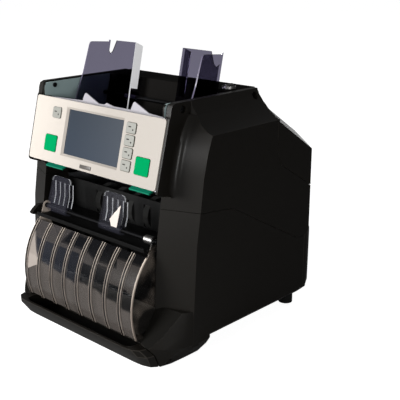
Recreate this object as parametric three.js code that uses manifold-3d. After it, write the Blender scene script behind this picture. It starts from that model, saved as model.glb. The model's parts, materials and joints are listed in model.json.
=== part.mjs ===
// Desktop banknote counter with a hopper, a reject pocket and a stacker pocket.
// Millimetres. X runs across the machine, -Y is the front, +Z is up.
// The outline is drawn with Y zero at the foot of the front columns, then centred at the end.

import * as THREE from 'three';
import { mergeVertices } from 'three/addons/utils/BufferGeometryUtils.js';
import Module from 'manifold-3d';

const wasm = await Module();
wasm.setup();

// Whole machine
const overallWidth = 300;
const bodyDepth = 220;
const bodyHeight = 303;
const sideHalf = overallWidth / 2;

// Walls and clearances
const coverWall = 2.6;
const sheetWall = 2;
const seamGap = 0.6;
const fitGap = 0.4;
const cutOverrun = 60;
const weldTolerance = 1e-4;
const roundSteps = 20;
const rollerSteps = 16;
const cornerSteps = 3;

// Openings between the front columns
const pocketHalf = 105.6;
const columnReturnDepth = 30;
const frameInner = pocketHalf + coverWall + fitGap;
const frameThick = 1.6;
const frameOuter = frameInner + frameThick;
const columnSweep = 0.42;

// Side view: shares of the body depth and height
const creaseShares = [
  [0.002, 0.06], [0.005, 0.234], [0.027, 0.483], [0.055, 0.611], [0.079, 0.735],
  [0.103, 0.804], [0.117, 0.838], [0.131, 0.866], [0.147, 0.892], [0.169, 0.92], [0.2, 0.95],
];
const creaseFrontCount = 7;
const deckEndShare = 0.664;
const deckDropShares = [0.686, 0.931];
const rearTopShares = [0.972, 0.795];
const rearFaceShare = 0.994;
const rearSillShares = [0.985, 0.118];
const undersideShares = [0.955, 0.082];
const skirtShares = [0.037, 0.093];
const bilgeRun = 9;
const bilgeRise = 8.5;
const lipFrontShares = [-0.02, 1];

// Shoulders: shares of half width against drop below the rim
const rimHalf = 118;
const shoulderDrop = 35;
const shoulderShares = [[0, 0], [0.05, 0.2], [0.22, 0.46], [0.5, 0.72], [0.8, 0.92], [1, 1]];
const rearRimHalf = 126;
const rearShoulderDrop = 17;

// Parting line of the lifting upper unit, and its rear hinge
const partingShares = [[-0.3, 0.61], [0.05, 0.607], [0.298, 0.587]];
const hingeShares = [0.945, 0.389];
const hingeArc = 10.8;
const hingePinRadius = 3;
const partingArcStart = 238;
const partingDipShares = [0.89, 0.352];
const partingDipRound = 8;
const partingRiseEnd = 278;

// Panel recess beside the control panel, and the round where its cheek meets the column
const recessFloorShare = 0.652;
const recessDepth = 10;
const recessLean = 0.18;
const filletRound = 8;
const filletLevelShares = [[0.652, 0.15], [0.69, 1], [0.735, 1], [0.804, 1], [0.838, 1], [0.866, 1],
  [0.892, 1], [0.92, 1], [0.95, 1]];

const hingeY = hingeShares[0] * bodyDepth;
const hingeZ = hingeShares[1] * bodyHeight;

// Slanted control panel: the middle of its top edge, its tilt and its size
const panelTopEdge = [-4, 286.7];
const panelTilt = 14.44;
const panelSize = [230, 79.4];
const panelThick = 6;

// A side view place, from a distance down the panel and a distance behind its face
function panelPoint(down, back) {
  const tilt = THREE.MathUtils.degToRad(panelTilt);
  return [panelTopEdge[0] - down * Math.sin(tilt) + back * Math.cos(tilt),
    panelTopEdge[1] - down * Math.cos(tilt) - back * Math.sin(tilt)];
}

const finishes = {
  casing: { color: 0x1b1a19, roughness: 0.62, metalness: 0 },
  casingSatin: { color: 0x222120, roughness: 0.5, metalness: 0 },
  darkPlastic: { color: 0x121212, roughness: 0.55, metalness: 0 },
  panelWhite: { color: 0xded6cc, roughness: 0.5, metalness: 0 },
  hopperGrey: { color: 0x78878a, roughness: 0.55, metalness: 0 },
  finWhite: { color: 0xcdccc9, roughness: 0.5, metalness: 0 },
  glass: { color: 0x41505f, roughness: 0.18, metalness: 0 },
  keyGrey: { color: 0xaaaaa0, roughness: 0.5, metalness: 0 },
  keyGreen: { color: 0x0faf69, roughness: 0.45, metalness: 0 },
  leverGreen: { color: 0x148c6e, roughness: 0.45, metalness: 0 },
  smoke: { color: 0x4a465a, roughness: 0.15, metalness: 0, transparent: true, opacity: 0.6 },
  clear: { color: 0xc8ccd0, roughness: 0.08, metalness: 0, transparent: true, opacity: 0.4 },
  steel: { color: 0x9a9da1, roughness: 0.35, metalness: 0.9 },
  rubber: { color: 0x23221f, roughness: 0.85, metalness: 0 },
  floorGrey: { color: 0x6b6863, roughness: 0.5, metalness: 0 },
  board: { color: 0x1d5a3a, roughness: 0.6, metalness: 0 },
};

// Solids from three.js geometry
function solid(geometry) {
  const bare = geometry.clone();
  bare.deleteAttribute('normal');
  bare.deleteAttribute('uv');
  const merged = mergeVertices(bare, weldTolerance);
  return new wasm.Manifold(new wasm.Mesh({
    numProp: 3,
    vertProperties: Float32Array.from(merged.attributes.position.array),
    triVerts: Uint32Array.from(merged.index.array),
  }));
}

function pathShape(points) {
  return new THREE.Shape(points.map(([a, b]) => new THREE.Vector2(a, b)));
}

const axisFrames = {
  x: new THREE.Matrix4().makeBasis(
    new THREE.Vector3(0, 1, 0), new THREE.Vector3(0, 0, 1), new THREE.Vector3(1, 0, 0)),
  y: new THREE.Matrix4().makeBasis(
    new THREE.Vector3(1, 0, 0), new THREE.Vector3(0, 0, 1), new THREE.Vector3(0, -1, 0)),
  z: new THREE.Matrix4(),
};

// An outline drawn in the plane across an axis, carried along that axis
function prism(axis, outline, from, to) {
  const depth = to - from;
  const geometry = new THREE.ExtrudeGeometry(pathShape(outline), { depth, bevelEnabled: false });
  geometry.applyMatrix4(axisFrames[axis]);
  if (axis === 'x') geometry.translate(from, 0, 0);
  if (axis === 'y') geometry.translate(0, to, 0);
  if (axis === 'z') geometry.translate(0, 0, from);
  return solid(geometry);
}

function block(xs, ys, zs) {
  const geometry = new THREE.BoxGeometry(xs[1] - xs[0], ys[1] - ys[0], zs[1] - zs[0]);
  geometry.translate((xs[0] + xs[1]) / 2, (ys[0] + ys[1]) / 2, (zs[0] + zs[1]) / 2);
  return solid(geometry);
}

// A round bar across the machine, between two X places
function crossBar(y, z, radius, from, to, steps = roundSteps) {
  const geometry = new THREE.CylinderGeometry(radius, radius, to - from, steps);
  geometry.rotateZ(Math.PI / 2);
  geometry.translate((from + to) / 2, y, z);
  return solid(geometry);
}

function upright(x, y, radius, from, to, steps = roundSteps) {
  const geometry = new THREE.CylinderGeometry(radius, radius, to - from, steps);
  geometry.rotateX(Math.PI / 2);
  geometry.translate(x, y, (from + to) / 2);
  return solid(geometry);
}

// A closed skin over rings with equal counts of points, each ring at its own height
function loft(rings) {
  const count = rings[0].points.length;
  const positions = [];
  const faces = [];
  for (const ring of rings) {
    for (const [x, y] of ring.points) positions.push(x, y, ring.z);
  }
  for (let level = 0; level < rings.length - 1; level += 1) {
    for (let i = 0; i < count; i += 1) {
      const next = (i + 1) % count;
      const a = level * count + i;
      const b = level * count + next;
      faces.push(a, b, b + count);
      faces.push(a, b + count, a + count);
    }
  }
  const last = (rings.length - 1) * count;
  const capOf = (ring) => THREE.ShapeUtils.triangulateShape(
    ring.points.map(([x, y]) => new THREE.Vector2(x, y)), []);
  for (const [a, b, c] of capOf(rings[0])) faces.push(c, b, a);
  for (const [a, b, c] of capOf(rings[rings.length - 1])) faces.push(last + a, last + b, last + c);
  const geometry = new THREE.BufferGeometry();
  geometry.setAttribute('position', new THREE.Float32BufferAttribute(positions, 3));
  geometry.setIndex(faces);
  return solid(geometry);
}

// The points of one rounded corner between its two neighbours
function roundedCorner(before, corner, after, radius, steps = cornerSteps) {
  const here = new THREE.Vector2(corner[0], corner[1]);
  const toBefore = new THREE.Vector2(before[0], before[1]).sub(here);
  const toAfter = new THREE.Vector2(after[0], after[1]).sub(here);
  const reach = Math.min(radius, toBefore.length() / 2, toAfter.length() / 2);
  const start = here.clone().add(toBefore.setLength(reach));
  const end = here.clone().add(toAfter.setLength(reach));
  const points = [];
  for (let step = 0; step <= steps; step += 1) {
    const t = step / steps;
    const x = (1 - t) * (1 - t) * start.x + 2 * t * (1 - t) * here.x + t * t * end.x;
    const y = (1 - t) * (1 - t) * start.y + 2 * t * (1 - t) * here.y + t * t * end.y;
    points.push([x, y]);
  }
  return points;
}

// Rounds every corner of an outline by up to the given radius
function rounded(points, radius, steps = cornerSteps) {
  return points.flatMap((corner, i) => roundedCorner(points[(i + points.length - 1) % points.length],
    corner, points[(i + 1) % points.length], radius, steps));
}

function rectangle(x0, x1, y0, y1) {
  return [[x0, y0], [x1, y0], [x1, y1], [x0, y1]];
}

function arc(centre, radius, fromDegrees, toDegrees, steps) {
  const points = [];
  for (let i = 0; i <= steps; i += 1) {
    const angle = THREE.MathUtils.degToRad(fromDegrees + ((toDegrees - fromDegrees) * i) / steps);
    points.push([centre[0] + radius * Math.cos(angle), centre[1] + radius * Math.sin(angle)]);
  }
  return points;
}

// Moves each side of an outline inward by a distance
function inset(points, distance) {
  if (distance === 0) return points;
  const count = points.length;
  const area = THREE.ShapeUtils.area(points.map(([a, b]) => new THREE.Vector2(a, b)));
  const turn = area > 0 ? 1 : -1;
  const lines = points.map((p, i) => {
    const q = points[(i + 1) % count];
    const length = Math.hypot(q[0] - p[0], q[1] - p[1]);
    const normal = [(-(q[1] - p[1]) / length) * turn, ((q[0] - p[0]) / length) * turn];
    return { normal, offset: normal[0] * p[0] + normal[1] * p[1] + distance };
  });
  return lines.map((line, i) => {
    const other = lines[(i + count - 1) % count];
    const cross = other.normal[0] * line.normal[1] - other.normal[1] * line.normal[0];
    const x = (other.offset * line.normal[1] - line.offset * other.normal[1]) / cross;
    const y = (other.normal[0] * line.offset - line.normal[0] * other.offset) / cross;
    return [x, y];
  });
}

function mirrored(body) {
  return body.mirror([1, 0, 0]);
}

const side = ([depthShare, heightShare]) => [depthShare * bodyDepth, heightShare * bodyHeight];

const machine = new THREE.Group();

function add(parent, name, body, finish) {
  const mesh = body.getMesh();
  const geometry = new THREE.BufferGeometry();
  geometry.setAttribute('position', new THREE.Float32BufferAttribute(mesh.vertProperties, 3));
  geometry.setIndex(Array.from(mesh.triVerts));
  geometry.computeVertexNormals();
  const piece = new THREE.Mesh(geometry, new THREE.MeshStandardMaterial(finish));
  piece.name = name;
  parent.add(piece);
  return piece;
}

// Outer form of the casing, or its hollow when a wall is taken off
const creaseLine = creaseShares.map(side);
const sweepBack = (sideHalf - pocketHalf) * columnSweep;

function facetCutter(wall) {
  const outline = creaseLine.map(([y, z]) => [y + wall, z]);
  outline.push([outline[outline.length - 1][0], bodyHeight + cutOverrun]);
  outline.push([-bodyDepth, bodyHeight + cutOverrun]);
  outline.push([-bodyDepth, creaseLine[0][1]]);
  const cutter = prism('x', outline, -cutOverrun - sweepBack, cutOverrun);
  const shear = [1, columnSweep, 0, 0, 0, 1, 0, 0, 0, 0, 1, 0, 0, 0, 0, 1];
  return cutter.transform(shear).translate([sideHalf, 0, 0]);
}

function shoulderCutter(wall) {
  const run = sideHalf - rimHalf;
  const curve = shoulderShares.map(([a, b]) => [
    rimHalf + a * run - wall, bodyHeight - b * shoulderDrop - wall]);
  const outline = [...curve, [sideHalf + cutOverrun, curve[curve.length - 1][1]],
    [sideHalf + cutOverrun, bodyHeight + cutOverrun], [curve[0][0], bodyHeight + cutOverrun]];
  return prism('y', outline, -bodyDepth, deckDropShares[0] * bodyDepth + wall);
}

function rearShoulderCutter(wall) {
  const [dropY, dropZ] = side(deckDropShares);
  const [topY, topZ] = side(rearTopShares);
  const slope = (topZ - dropZ) / (topY - dropY);
  const outline = [[rearRimHalf - wall, dropZ - wall], [sideHalf, dropZ - rearShoulderDrop - wall],
    [sideHalf + cutOverrun, dropZ - rearShoulderDrop - wall],
    [sideHalf + cutOverrun, bodyHeight + cutOverrun], [rearRimHalf - wall, bodyHeight + cutOverrun]];
  const cutter = prism('y', outline, -seamGap, bodyDepth);
  const shear = [1, 0, 0, 0, 0, 1, slope, 0, 0, 0, 1, 0, 0, dropY, 0, 1];
  return cutter.transform(shear);
}

// Space beside the control panel, where the column face falls back
function recessCutter(wall) {
  const floorZ = recessFloorShare * bodyHeight - wall;
  const top = bodyHeight + cutOverrun;
  const outline = rounded(rectangle(0, rimHalf + wall, floorZ, top), recessDepth);
  const lean = [1, 0, 0, 0, 0, 1, 0, 0, 0, recessLean, 1, 0, 0, -recessLean * floorZ, 0, 1];
  return prism('y', outline, -bodyDepth, recessDepth + wall).transform(lean);
}

// Slanted lower edge of the side covers
function bilgeCutter(wall) {
  const lowZ = undersideShares[1] * bodyHeight;
  const inX = sideHalf - bilgeRun - wall;
  const outZ = lowZ + bilgeRise + wall;
  const outline = [[inX, -bodyHeight], [sideHalf + cutOverrun, -bodyHeight],
    [sideHalf + cutOverrun, outZ], [sideHalf, outZ], [inX, lowZ]];
  return prism('y', outline, skirtShares[0] * bodyDepth, bodyDepth * 2);
}

function casing(wall) {
  const front = creaseLine.slice(0, creaseFrontCount).map(([y, z]) => [y - sweepBack, z]);
  const outline = [
    [front[0][0], undersideShares[1] * bodyHeight],
    side(undersideShares), side(rearSillShares), [rearFaceShare * bodyDepth, hingeZ],
    [rearFaceShare * bodyDepth, rearTopShares[1] * bodyHeight - shoulderDrop / 2],
    side(rearTopShares), side(deckDropShares), [deckEndShare * bodyDepth, bodyHeight],
    side(lipFrontShares), ...front.slice(1).reverse(),
  ];
  const half = sideHalf - wall;
  let body = prism('x', inset(outline, wall), -half, half);
  const cutters = [facetCutter(wall), shoulderCutter(wall), rearShoulderCutter(wall),
    recessCutter(wall), bilgeCutter(wall)];
  for (const cutter of cutters) {
    body = body.subtract(cutter).subtract(mirrored(cutter));
  }
  return body;
}

function partingLine(gap) {
  const slope = [...partingShares, partingDipShares].map(side).map(([y, z]) => [y, z - gap]);
  const dip = slope.pop();
  const rise = arc([hingeY, hingeZ], hingeArc + gap, partingRiseEnd, 360, roundSteps / 4);
  return [...slope, ...roundedCorner(slope[slope.length - 1], dip, rise[0], partingDipRound), ...rise];
}

function upperRegion() {
  const line = partingLine(0);
  return prism('x', [...line, [bodyDepth * 2, hingeZ], [bodyDepth * 2, bodyHeight * 2],
    [line[0][0] - bodyDepth, bodyHeight * 2], [line[0][0] - bodyDepth, line[0][1]]],
  -overallWidth, overallWidth);
}

function lowerRegion() {
  const line = partingLine(seamGap);
  return prism('x', [...line, [bodyDepth * 2, hingeZ], [bodyDepth * 2, -bodyHeight],
    [line[0][0] - bodyDepth, -bodyHeight], [line[0][0] - bodyDepth, line[0][1]]].reverse(),
  -overallWidth, overallWidth);
}

// A band of even thickness along a line of points, laid on the left of its travel
function band(points, thickness) {
  const normals = points.slice(1).map((p, i) => {
    const [y0, z0] = points[i];
    const length = Math.hypot(p[0] - y0, p[1] - z0);
    return [-(p[1] - z0) / length, (p[0] - y0) / length];
  });
  const shifted = points.map(([y, z], i) => {
    const a = normals[Math.max(i - 1, 0)];
    const b = normals[Math.min(i, normals.length - 1)];
    const spread = 1 + a[0] * b[0] + a[1] * b[1];
    return [y + ((a[0] + b[0]) / spread) * thickness, z + ((a[1] + b[1]) / spread) * thickness];
  });
  return [...points, ...shifted.reverse()];
}

function both(parent, name, body, finish) {
  add(parent, `${name}_right`, body, finish);
  add(parent, `${name}_left`, mirrored(body), finish);
}

const everyY = [-bodyDepth, bodyDepth * 2];
const everyZ = [-bodyHeight, bodyHeight * 2];

// Casing skins
const rearSplitShare = 0.951;
const rearSplit = rearSplitShare * bodyDepth;
const floorHalf = 130;
const undersideZ = undersideShares[1] * bodyHeight;
const rimInner = frameOuter + fitGap;
const outerSkin = casing(0);
const hollow = casing(coverWall);
const columnCore = block([0, pocketHalf + coverWall], [-bodyDepth, columnReturnDepth], everyZ);
const coverShell = outerSkin.subtract(hollow.subtract(columnCore));

// Toe of each lower side cover, and the note tray between the toes
const toeLevelShares = [0.01, 0.063, 0.092, 0.139, 0.228];
const toePlanShares = [
  [[0.704, -0.141], [0.837, -0.136], [0.86, -0.073], [0.866, 0.018], [0.867, 0.05], [0.867, 0.127]],
  [[0.704, -0.166], [0.83, -0.165], [0.92, -0.091], [0.96, -0.009], [0.963, 0.05], [0.963, 0.127]],
  [[0.704, -0.186], [0.787, -0.193], [0.893, -0.141], [0.977, -0.064], [1, 0.014], [1, 0.127]],
  [[0.704, -0.19], [0.747, -0.191], [0.873, -0.136], [0.973, -0.059], [1, 0.014], [1, 0.127]],
  [[0.704, -0.136], [0.773, -0.136], [0.873, -0.105], [0.967, -0.036], [1, 0.018], [1, 0.127]],
];
const toeTopHeightShare = 0.301;
const toeTopSlope = 1.48;
const toeTopTilt = -0.176;
const toeWellPlace = [131, -21];
const toeWellRadius = 3.2;
const toeWellTop = 22;
const guardShares = [[-0.14, 0.454], [-0.132, 0.446], [-0.04, 0.44], [-0.04, 0.48],
  [-0.09, 0.483], [-0.123, 0.466]];
const guardWidth = 6.4;

function toe() {
  const rings = toePlanShares.map((plan, level) => ({
    z: toeLevelShares[level] * bodyHeight,
    points: plan.map(([x, y], i) => [i === 0 ? pocketHalf : x * sideHalf, y * bodyDepth])
      .concat([[pocketHalf, plan[plan.length - 1][1] * bodyDepth]]),
  }));
  const base = toeTopHeightShare * bodyHeight;
  const reach = bodyDepth;
  const outline = [[-reach, base - reach * toeTopSlope], [reach, base + reach * toeTopSlope],
    [-reach, base + reach * toeTopSlope]];
  const tilt = [1, 0, toeTopTilt, 0, 0, 1, 0, 0, 0, 0, 1, 0, 0, 0, 0, 1];
  const cutter = prism('x', outline, 0, overallWidth).translate([-pocketHalf, 0, 0])
    .transform(tilt).translate([pocketHalf, 0, 0]);
  const well = upright(toeWellPlace[0], toeWellPlace[1], toeWellRadius, 0, toeWellTop, rollerSteps);
  return loft(rings).subtract(cutter).subtract(well);
}

function lowerSideCover() {
  const keep = block([pocketHalf, overallWidth], [-bodyDepth, rearSplit], everyZ);
  const floorCut = block([0, floorHalf], [columnReturnDepth, bodyDepth],
    [-bodyHeight, undersideZ + coverWall + fitGap]);
  return coverShell.intersect(lowerRegion()).intersect(keep).subtract(floorCut).add(toe());
}

const lowerUnit = new THREE.Group();
const upperUnit = new THREE.Group();
machine.add(lowerUnit, upperUnit);

const lowerCover = lowerSideCover();
const guard = prism('x', guardShares.map(side), pocketHalf, pocketHalf + guardWidth);
add(lowerUnit, 'lower_side_cover_right', lowerCover, finishes.casing);
add(lowerUnit, 'lower_side_cover_left', mirrored(lowerCover.add(guard)), finishes.casing);

const trayPlanShares = [
  [[0.633, -0.195], [0.72, -0.191], [0.793, -0.175], [0.83, -0.143], [0.7, -0.1455], [0.688, -0.036]],
  [[0.633, -0.248], [0.747, -0.239], [0.81, -0.211], [0.827, -0.17], [0.7, -0.1705], [0.688, -0.036]],
  [[0.633, -0.266], [0.707, -0.259], [0.76, -0.236], [0.78, -0.199], [0.7, -0.192], [0.688, -0.036]],
];
const basinLevelShares = [0.023, 0.096];
const basinPlanShares = [
  [[0.6, -0.19], [0.655, -0.175], [0.665, -0.14], [0.665, -0.05]],
  [[0.61, -0.252], [0.66, -0.236], [0.672, -0.19], [0.672, -0.05]],
];

function symmetricRings(plans, levels) {
  return plans.map((plan, level) => {
    const right = plan.map(([x, y]) => [x * sideHalf, y * bodyDepth]);
    const left = right.map(([x, y]) => [-x, y]).reverse();
    return { z: levels[level] * bodyHeight, points: [...right, ...left] };
  });
}

const trayHull = loft(symmetricRings(trayPlanShares, toeLevelShares));
const basin = loft(symmetricRings(basinPlanShares, basinLevelShares));
add(lowerUnit, 'front_tray', trayHull.subtract(basin), finishes.casing);

// Floor of the chassis with its upturned edges
const panFront = trayPlanShares[0][5][1] * bodyDepth + seamGap;
const panFlange = 8.5;
const panHalf = floorHalf - fitGap;
const panNarrowHalf = pocketHalf - fitGap;
const panRear = rearSplit - seamGap;
const panToeGap = 3;
const panWideFront = toePlanShares[0][5][1] * bodyDepth + panToeGap;
const panOutline = [[-panNarrowHalf, panFront], [panNarrowHalf, panFront],
  [panNarrowHalf, columnReturnDepth + fitGap], [panHalf, columnReturnDepth + fitGap],
  [panHalf, panRear], [-panHalf, panRear],
  [-panHalf, columnReturnDepth + fitGap], [-panNarrowHalf, columnReturnDepth + fitGap]];
const panTop = undersideZ + coverWall;
const pan = prism('z', panOutline, undersideZ, panTop + panFlange)
  .subtract(prism('z', inset(panOutline, sheetWall), panTop, panTop + panFlange * 2));
add(lowerUnit, 'base_pan', pan, finishes.darkPlastic);

// Rear cover of the lower unit with its bulge
const bulgeShares = [[1.03, 0.13], [1.04, 0.35], [1.036, 0.372], [1.015, 0.384]];
const cupArc = hingeArc + seamGap;
const rearCornerRun = 6;
const rearCornerDepth = 13;
const cupSpan = [-21, -82];
const inletPlace = [-88, 66];
const inletSize = [30, 23];
const switchPlace = [-65.8, 66];
const switchSize = [15, 23];
const cupEnd = arc([hingeY, hingeZ], cupArc, cupSpan[0], cupSpan[1], cornerSteps);
const rearOutline = [[rearSplit, undersideZ], side(undersideShares), side(rearSillShares),
  ...bulgeShares.map(side), ...cupEnd];
const rearFaceY = bulgeShares[1][0] * bodyDepth;

function rearWindow([x, z], [width, height], slack) {
  return block([x - width / 2 - slack, x + width / 2 + slack], [rearSplit, rearFaceY + cutOverrun],
    [z - height / 2 - slack, z + height / 2 + slack]);
}

function lowerRearCover() {
  const innerHalf = sideHalf - coverWall;
  const ahead = rearSplit - rearCornerDepth;
  const innerOutline = inset([[ahead, undersideZ], ...rearOutline.slice(1),
    [ahead, rearOutline[rearOutline.length - 1][1]]], coverWall);
  const cornerX = sideHalf - rearCornerRun;
  const cornerY = rearFaceY - rearCornerDepth;
  const cornerPlan = [[cornerX, rearFaceY + cutOverrun], [cornerX, rearFaceY], [sideHalf, cornerY],
    [sideHalf + cutOverrun, cornerY], [sideHalf + cutOverrun, rearFaceY + cutOverrun]];
  const corner = prism('z', cornerPlan, 0, bodyHeight);
  const innerCorner = corner.translate([-coverWall, -coverWall, 0]);
  const inner = prism('x', innerOutline, -innerHalf, innerHalf).subtract(innerCorner)
    .subtract(mirrored(innerCorner));
  const rearBilge = bilgeCutter(0);
  return prism('x', rearOutline, -sideHalf, sideHalf).subtract(corner).subtract(mirrored(corner))
    .subtract(inner).subtract(rearBilge).subtract(mirrored(rearBilge))
    .subtract(rearWindow(inletPlace, inletSize, fitGap))
    .subtract(rearWindow(switchPlace, switchSize, fitGap));
}
add(lowerUnit, 'lower_rear_cover', lowerRearCover(), finishes.casing);

// Power inlet and rocker switch in the rear cover
const inletDepth = 17;
const inletCavity = [24, 16];
const inletCavityDepth = 13;
const pinRadius = 1.6;
const pinShares = [-0.28, 0, 0.28];
const inletFaceY = rearFaceY - seamGap;

function powerInlet() {
  const [x, z] = inletPlace;
  const body = block([x - inletSize[0] / 2, x + inletSize[0] / 2], [inletFaceY - inletDepth, inletFaceY],
    [z - inletSize[1] / 2, z + inletSize[1] / 2]);
  const cavity = block([x - inletCavity[0] / 2, x + inletCavity[0] / 2],
    [inletFaceY - inletCavityDepth, inletFaceY + cutOverrun],
    [z - inletCavity[1] / 2, z + inletCavity[1] / 2]);
  let piece = body.subtract(cavity);
  for (const share of pinShares) {
    const pin = block([x + share * inletCavity[0] - pinRadius, x + share * inletCavity[0] + pinRadius],
      [inletFaceY - inletCavityDepth - sheetWall, inletFaceY - sheetWall * 2],
      [z - pinRadius, z + pinRadius]);
    piece = piece.add(pin);
  }
  return piece;
}
const switchFrameWall = 1.5;
const rockerTilt = 9;
const rockerRest = 7;
const rockerDepth = 9;
const rockerProud = 1.2;

function switchFrame() {
  const [x, z] = switchPlace;
  const join = (inletPlace[0] + inletSize[0] / 2 + x - switchSize[0] / 2) / 2;
  const outerBlock = block([x - switchSize[0] / 2, x + switchSize[0] / 2],
    [inletFaceY - inletDepth, inletFaceY], [z - switchSize[1] / 2, z + switchSize[1] / 2]);
  const opening = block([x - switchSize[0] / 2 + switchFrameWall, x + switchSize[0] / 2 - switchFrameWall],
    [inletFaceY - inletCavityDepth, inletFaceY + cutOverrun],
    [z - switchSize[1] / 2 + switchFrameWall, z + switchSize[1] / 2 - switchFrameWall]);
  const bridge = block([join - switchFrameWall, join + switchFrameWall],
    [inletFaceY - inletDepth, inletFaceY], [z - switchSize[1] / 2, z + switchSize[1] / 2]);
  return outerBlock.subtract(opening).add(bridge);
}
add(lowerUnit, 'power_inlet', powerInlet().add(switchFrame()), finishes.darkPlastic);

function rocker() {
  const [x, z] = switchPlace;
  const halfWidth = switchSize[0] / 2 - switchFrameWall - fitGap;
  const halfHeight = switchSize[1] / 2 - switchFrameWall - fitGap * 3;
  const tip = Math.tan(THREE.MathUtils.degToRad(rockerTilt)) * halfHeight;
  const face = inletFaceY + rockerProud;
  const outline = [[face - rockerDepth + tip, z], [face - rockerDepth / 2, z - halfHeight],
    [face, z - halfHeight], [face - tip, z], [face, z + halfHeight],
    [face - rockerDepth / 2, z + halfHeight]];
  const pivot = face - rockerDepth / 2;
  return prism('x', outline, x - halfWidth, x + halfWidth).translate([0, -pivot, -z])
    .rotate([-rockerRest, 0, 0]).translate([0, pivot, z]);
}
const rockerBody = new THREE.Group();
lowerUnit.add(rockerBody);
add(rockerBody, 'power_rocker', rocker(), finishes.darkPlastic);

// Feet
const footRadius = 9.5;
const footPlace = [115.6, 219.4];
const padRadius = 8;
const padPlace = [117, -4];
const padTop = toeLevelShares[0] * bodyHeight - fitGap;

// The rear feet reach up to the slanted underside of the rear cover
function rearFoot() {
  const sole = rearOutline.slice(0, 4).map(([y, z]) => [y, z - seamGap]);
  const above = [[rearFaceY + cutOverrun, sole[3][1]], [rearFaceY + cutOverrun, bodyHeight],
    [sole[0][0] - footRadius, bodyHeight], [sole[0][0] - footRadius, sole[0][1]]];
  return upright(footPlace[0], footPlace[1], footRadius, 0, bodyHeight)
    .subtract(prism('x', [...sole, ...above], 0, sideHalf));
}
both(lowerUnit, 'rear_foot', rearFoot(), finishes.rubber);
both(lowerUnit, 'front_pad', upright(padPlace[0], padPlace[1], padRadius, 0, padTop), finishes.rubber);

// Chassis side plates and the hinge pin of the lifting unit
const earRadius = 6.8;
const pinClear = 0.4;
const railClear = 4;
const lowerPlateShares = [[0.06, 0], [0.06, 0.592], [0.298, 0.574]];
const shafts = {
  stacker: { y: 58, z: 84, radius: 4 },
  reject: { y: 48, z: 152, radius: 4 },
};
const partingSlopeEnd = arc([hingeY, hingeZ], hingeArc, partingArcStart, partingArcStart + 1, 1)[0];
const [slopeTopY, slopeTopZ] = side(partingShares[2]);
const partingSlope = (partingSlopeEnd[1] - slopeTopZ) / (partingSlopeEnd[0] - slopeTopY);
const slopeAngle = Math.atan(partingSlope);
const slopeNormal = [-Math.sin(slopeAngle), Math.cos(slopeAngle)];

// A place along the note path slope, at a share of its length and a height off the parting line
function onSlope(share, off) {
  const y = slopeTopY + share * (partingSlopeEnd[0] - slopeTopY);
  const z = slopeTopZ + share * (partingSlopeEnd[1] - slopeTopZ);
  return [y + slopeNormal[0] * off, z + slopeNormal[1] * off];
}

const rollerRadius = 9;
const idlerRadius = 13;
const rollerProud = 1.5;
const transportShares = [0.5];
const rollerDown = railClear + rollerRadius - rollerProud;
const idlerUp = idlerRadius + seamGap - (railClear - rollerProud);
const driveSpots = transportShares.map((share) => onSlope(share, -rollerDown));
const idlerSpots = transportShares.map((share) => onSlope(share, idlerUp));

function framePlate(outline, holes, from) {
  let plate = prism('x', outline, from, from + frameThick);
  plate = plate.add(crossBar(hingeY, hingeZ, earRadius, from, from + frameThick, rollerSteps));
  for (const [y, z, radius] of holes) {
    plate = plate.subtract(crossBar(y, z, radius + pinClear, from - cutOverrun, from + cutOverrun,
      rollerSteps));
  }
  return plate;
}

const frameStep = [panWideFront + sheetWall + seamGap, toeLevelShares[4] * bodyHeight + seamGap];
const lowerFrameOutline = [
  [frameStep[0], panTop + fitGap], frameStep, [lowerPlateShares[0][0] * bodyDepth, frameStep[1]],
  side(lowerPlateShares[1]), side(lowerPlateShares[2]),
  [hingeY - earRadius, hingeZ - earRadius * 2], [hingeY, hingeZ],
  [rearSplit - coverWall, hingeZ - earRadius], [rearSplit - coverWall, panTop + fitGap],
];
const lowerHoles = [[hingeY, hingeZ, hingePinRadius],
  [shafts.stacker.y, shafts.stacker.z, shafts.stacker.radius],
  [shafts.reject.y, shafts.reject.z, shafts.reject.radius],
  ...driveSpots.map(([y, z]) => [y, z, shafts.stacker.radius])];
both(lowerUnit, 'lower_frame', framePlate(lowerFrameOutline, lowerHoles, frameInner), finishes.steel);

const upperFrameInner = frameOuter + seamGap;
const hingePinHalf = upperFrameInner + frameThick + seamGap;
add(lowerUnit, 'hinge_pin', crossBar(hingeY, hingeZ, hingePinRadius, -hingePinHalf, hingePinHalf),
  finishes.steel);

// Reject pocket: shelf, back plate, rod, bush and two clear stoppers
const rodPlace = [-11, 145];
const rodRadius = 3;
const rodHalf = pocketHalf - fitGap;
const shelfTopShare = 0.449;
const shelfFront = -27.2;
const shelfRear = 33;
const shelfWideFront = 1;
const shelfThick = 2.4;
const lipHeight = 4;
const shelfHalf = 99.8;
const shelfTop = shelfTopShare * bodyHeight;
const backPlateHeight = 38;
const insideHalf = pocketHalf - fitGap;

function rejectShelf() {
  const outline = [[shelfFront, shelfTop - shelfThick / 2], [shelfFront + shelfThick, shelfTop - shelfThick],
    [shelfRear, shelfTop - shelfThick], [shelfRear, shelfTop], [shelfFront + shelfThick * 2, shelfTop],
    [shelfFront + shelfThick / 2, shelfTop + lipHeight],
    [shelfFront - shelfThick / 2, shelfTop + lipHeight]];
  const wide = rectangle(shelfWideFront, shelfRear, shelfTop - shelfThick, shelfTop);
  return prism('x', outline, -shelfHalf, shelfHalf).add(prism('x', wide, -insideHalf, insideHalf));
}
add(lowerUnit, 'reject_shelf', rejectShelf(), finishes.casingSatin);

const rejectWheelRadius = 21;
const rejectWheelXs = [-44, -15, 15, 44];
const rejectWheelWidth = 9;
const slotSlack = 1.5;

function wheelSlots(xs, width, spot, radius) {
  return xs.map((x) => crossBar(spot.y, spot.z, radius + slotSlack, x - width / 2 - slotSlack,
    x + width / 2 + slotSlack));
}

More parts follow.
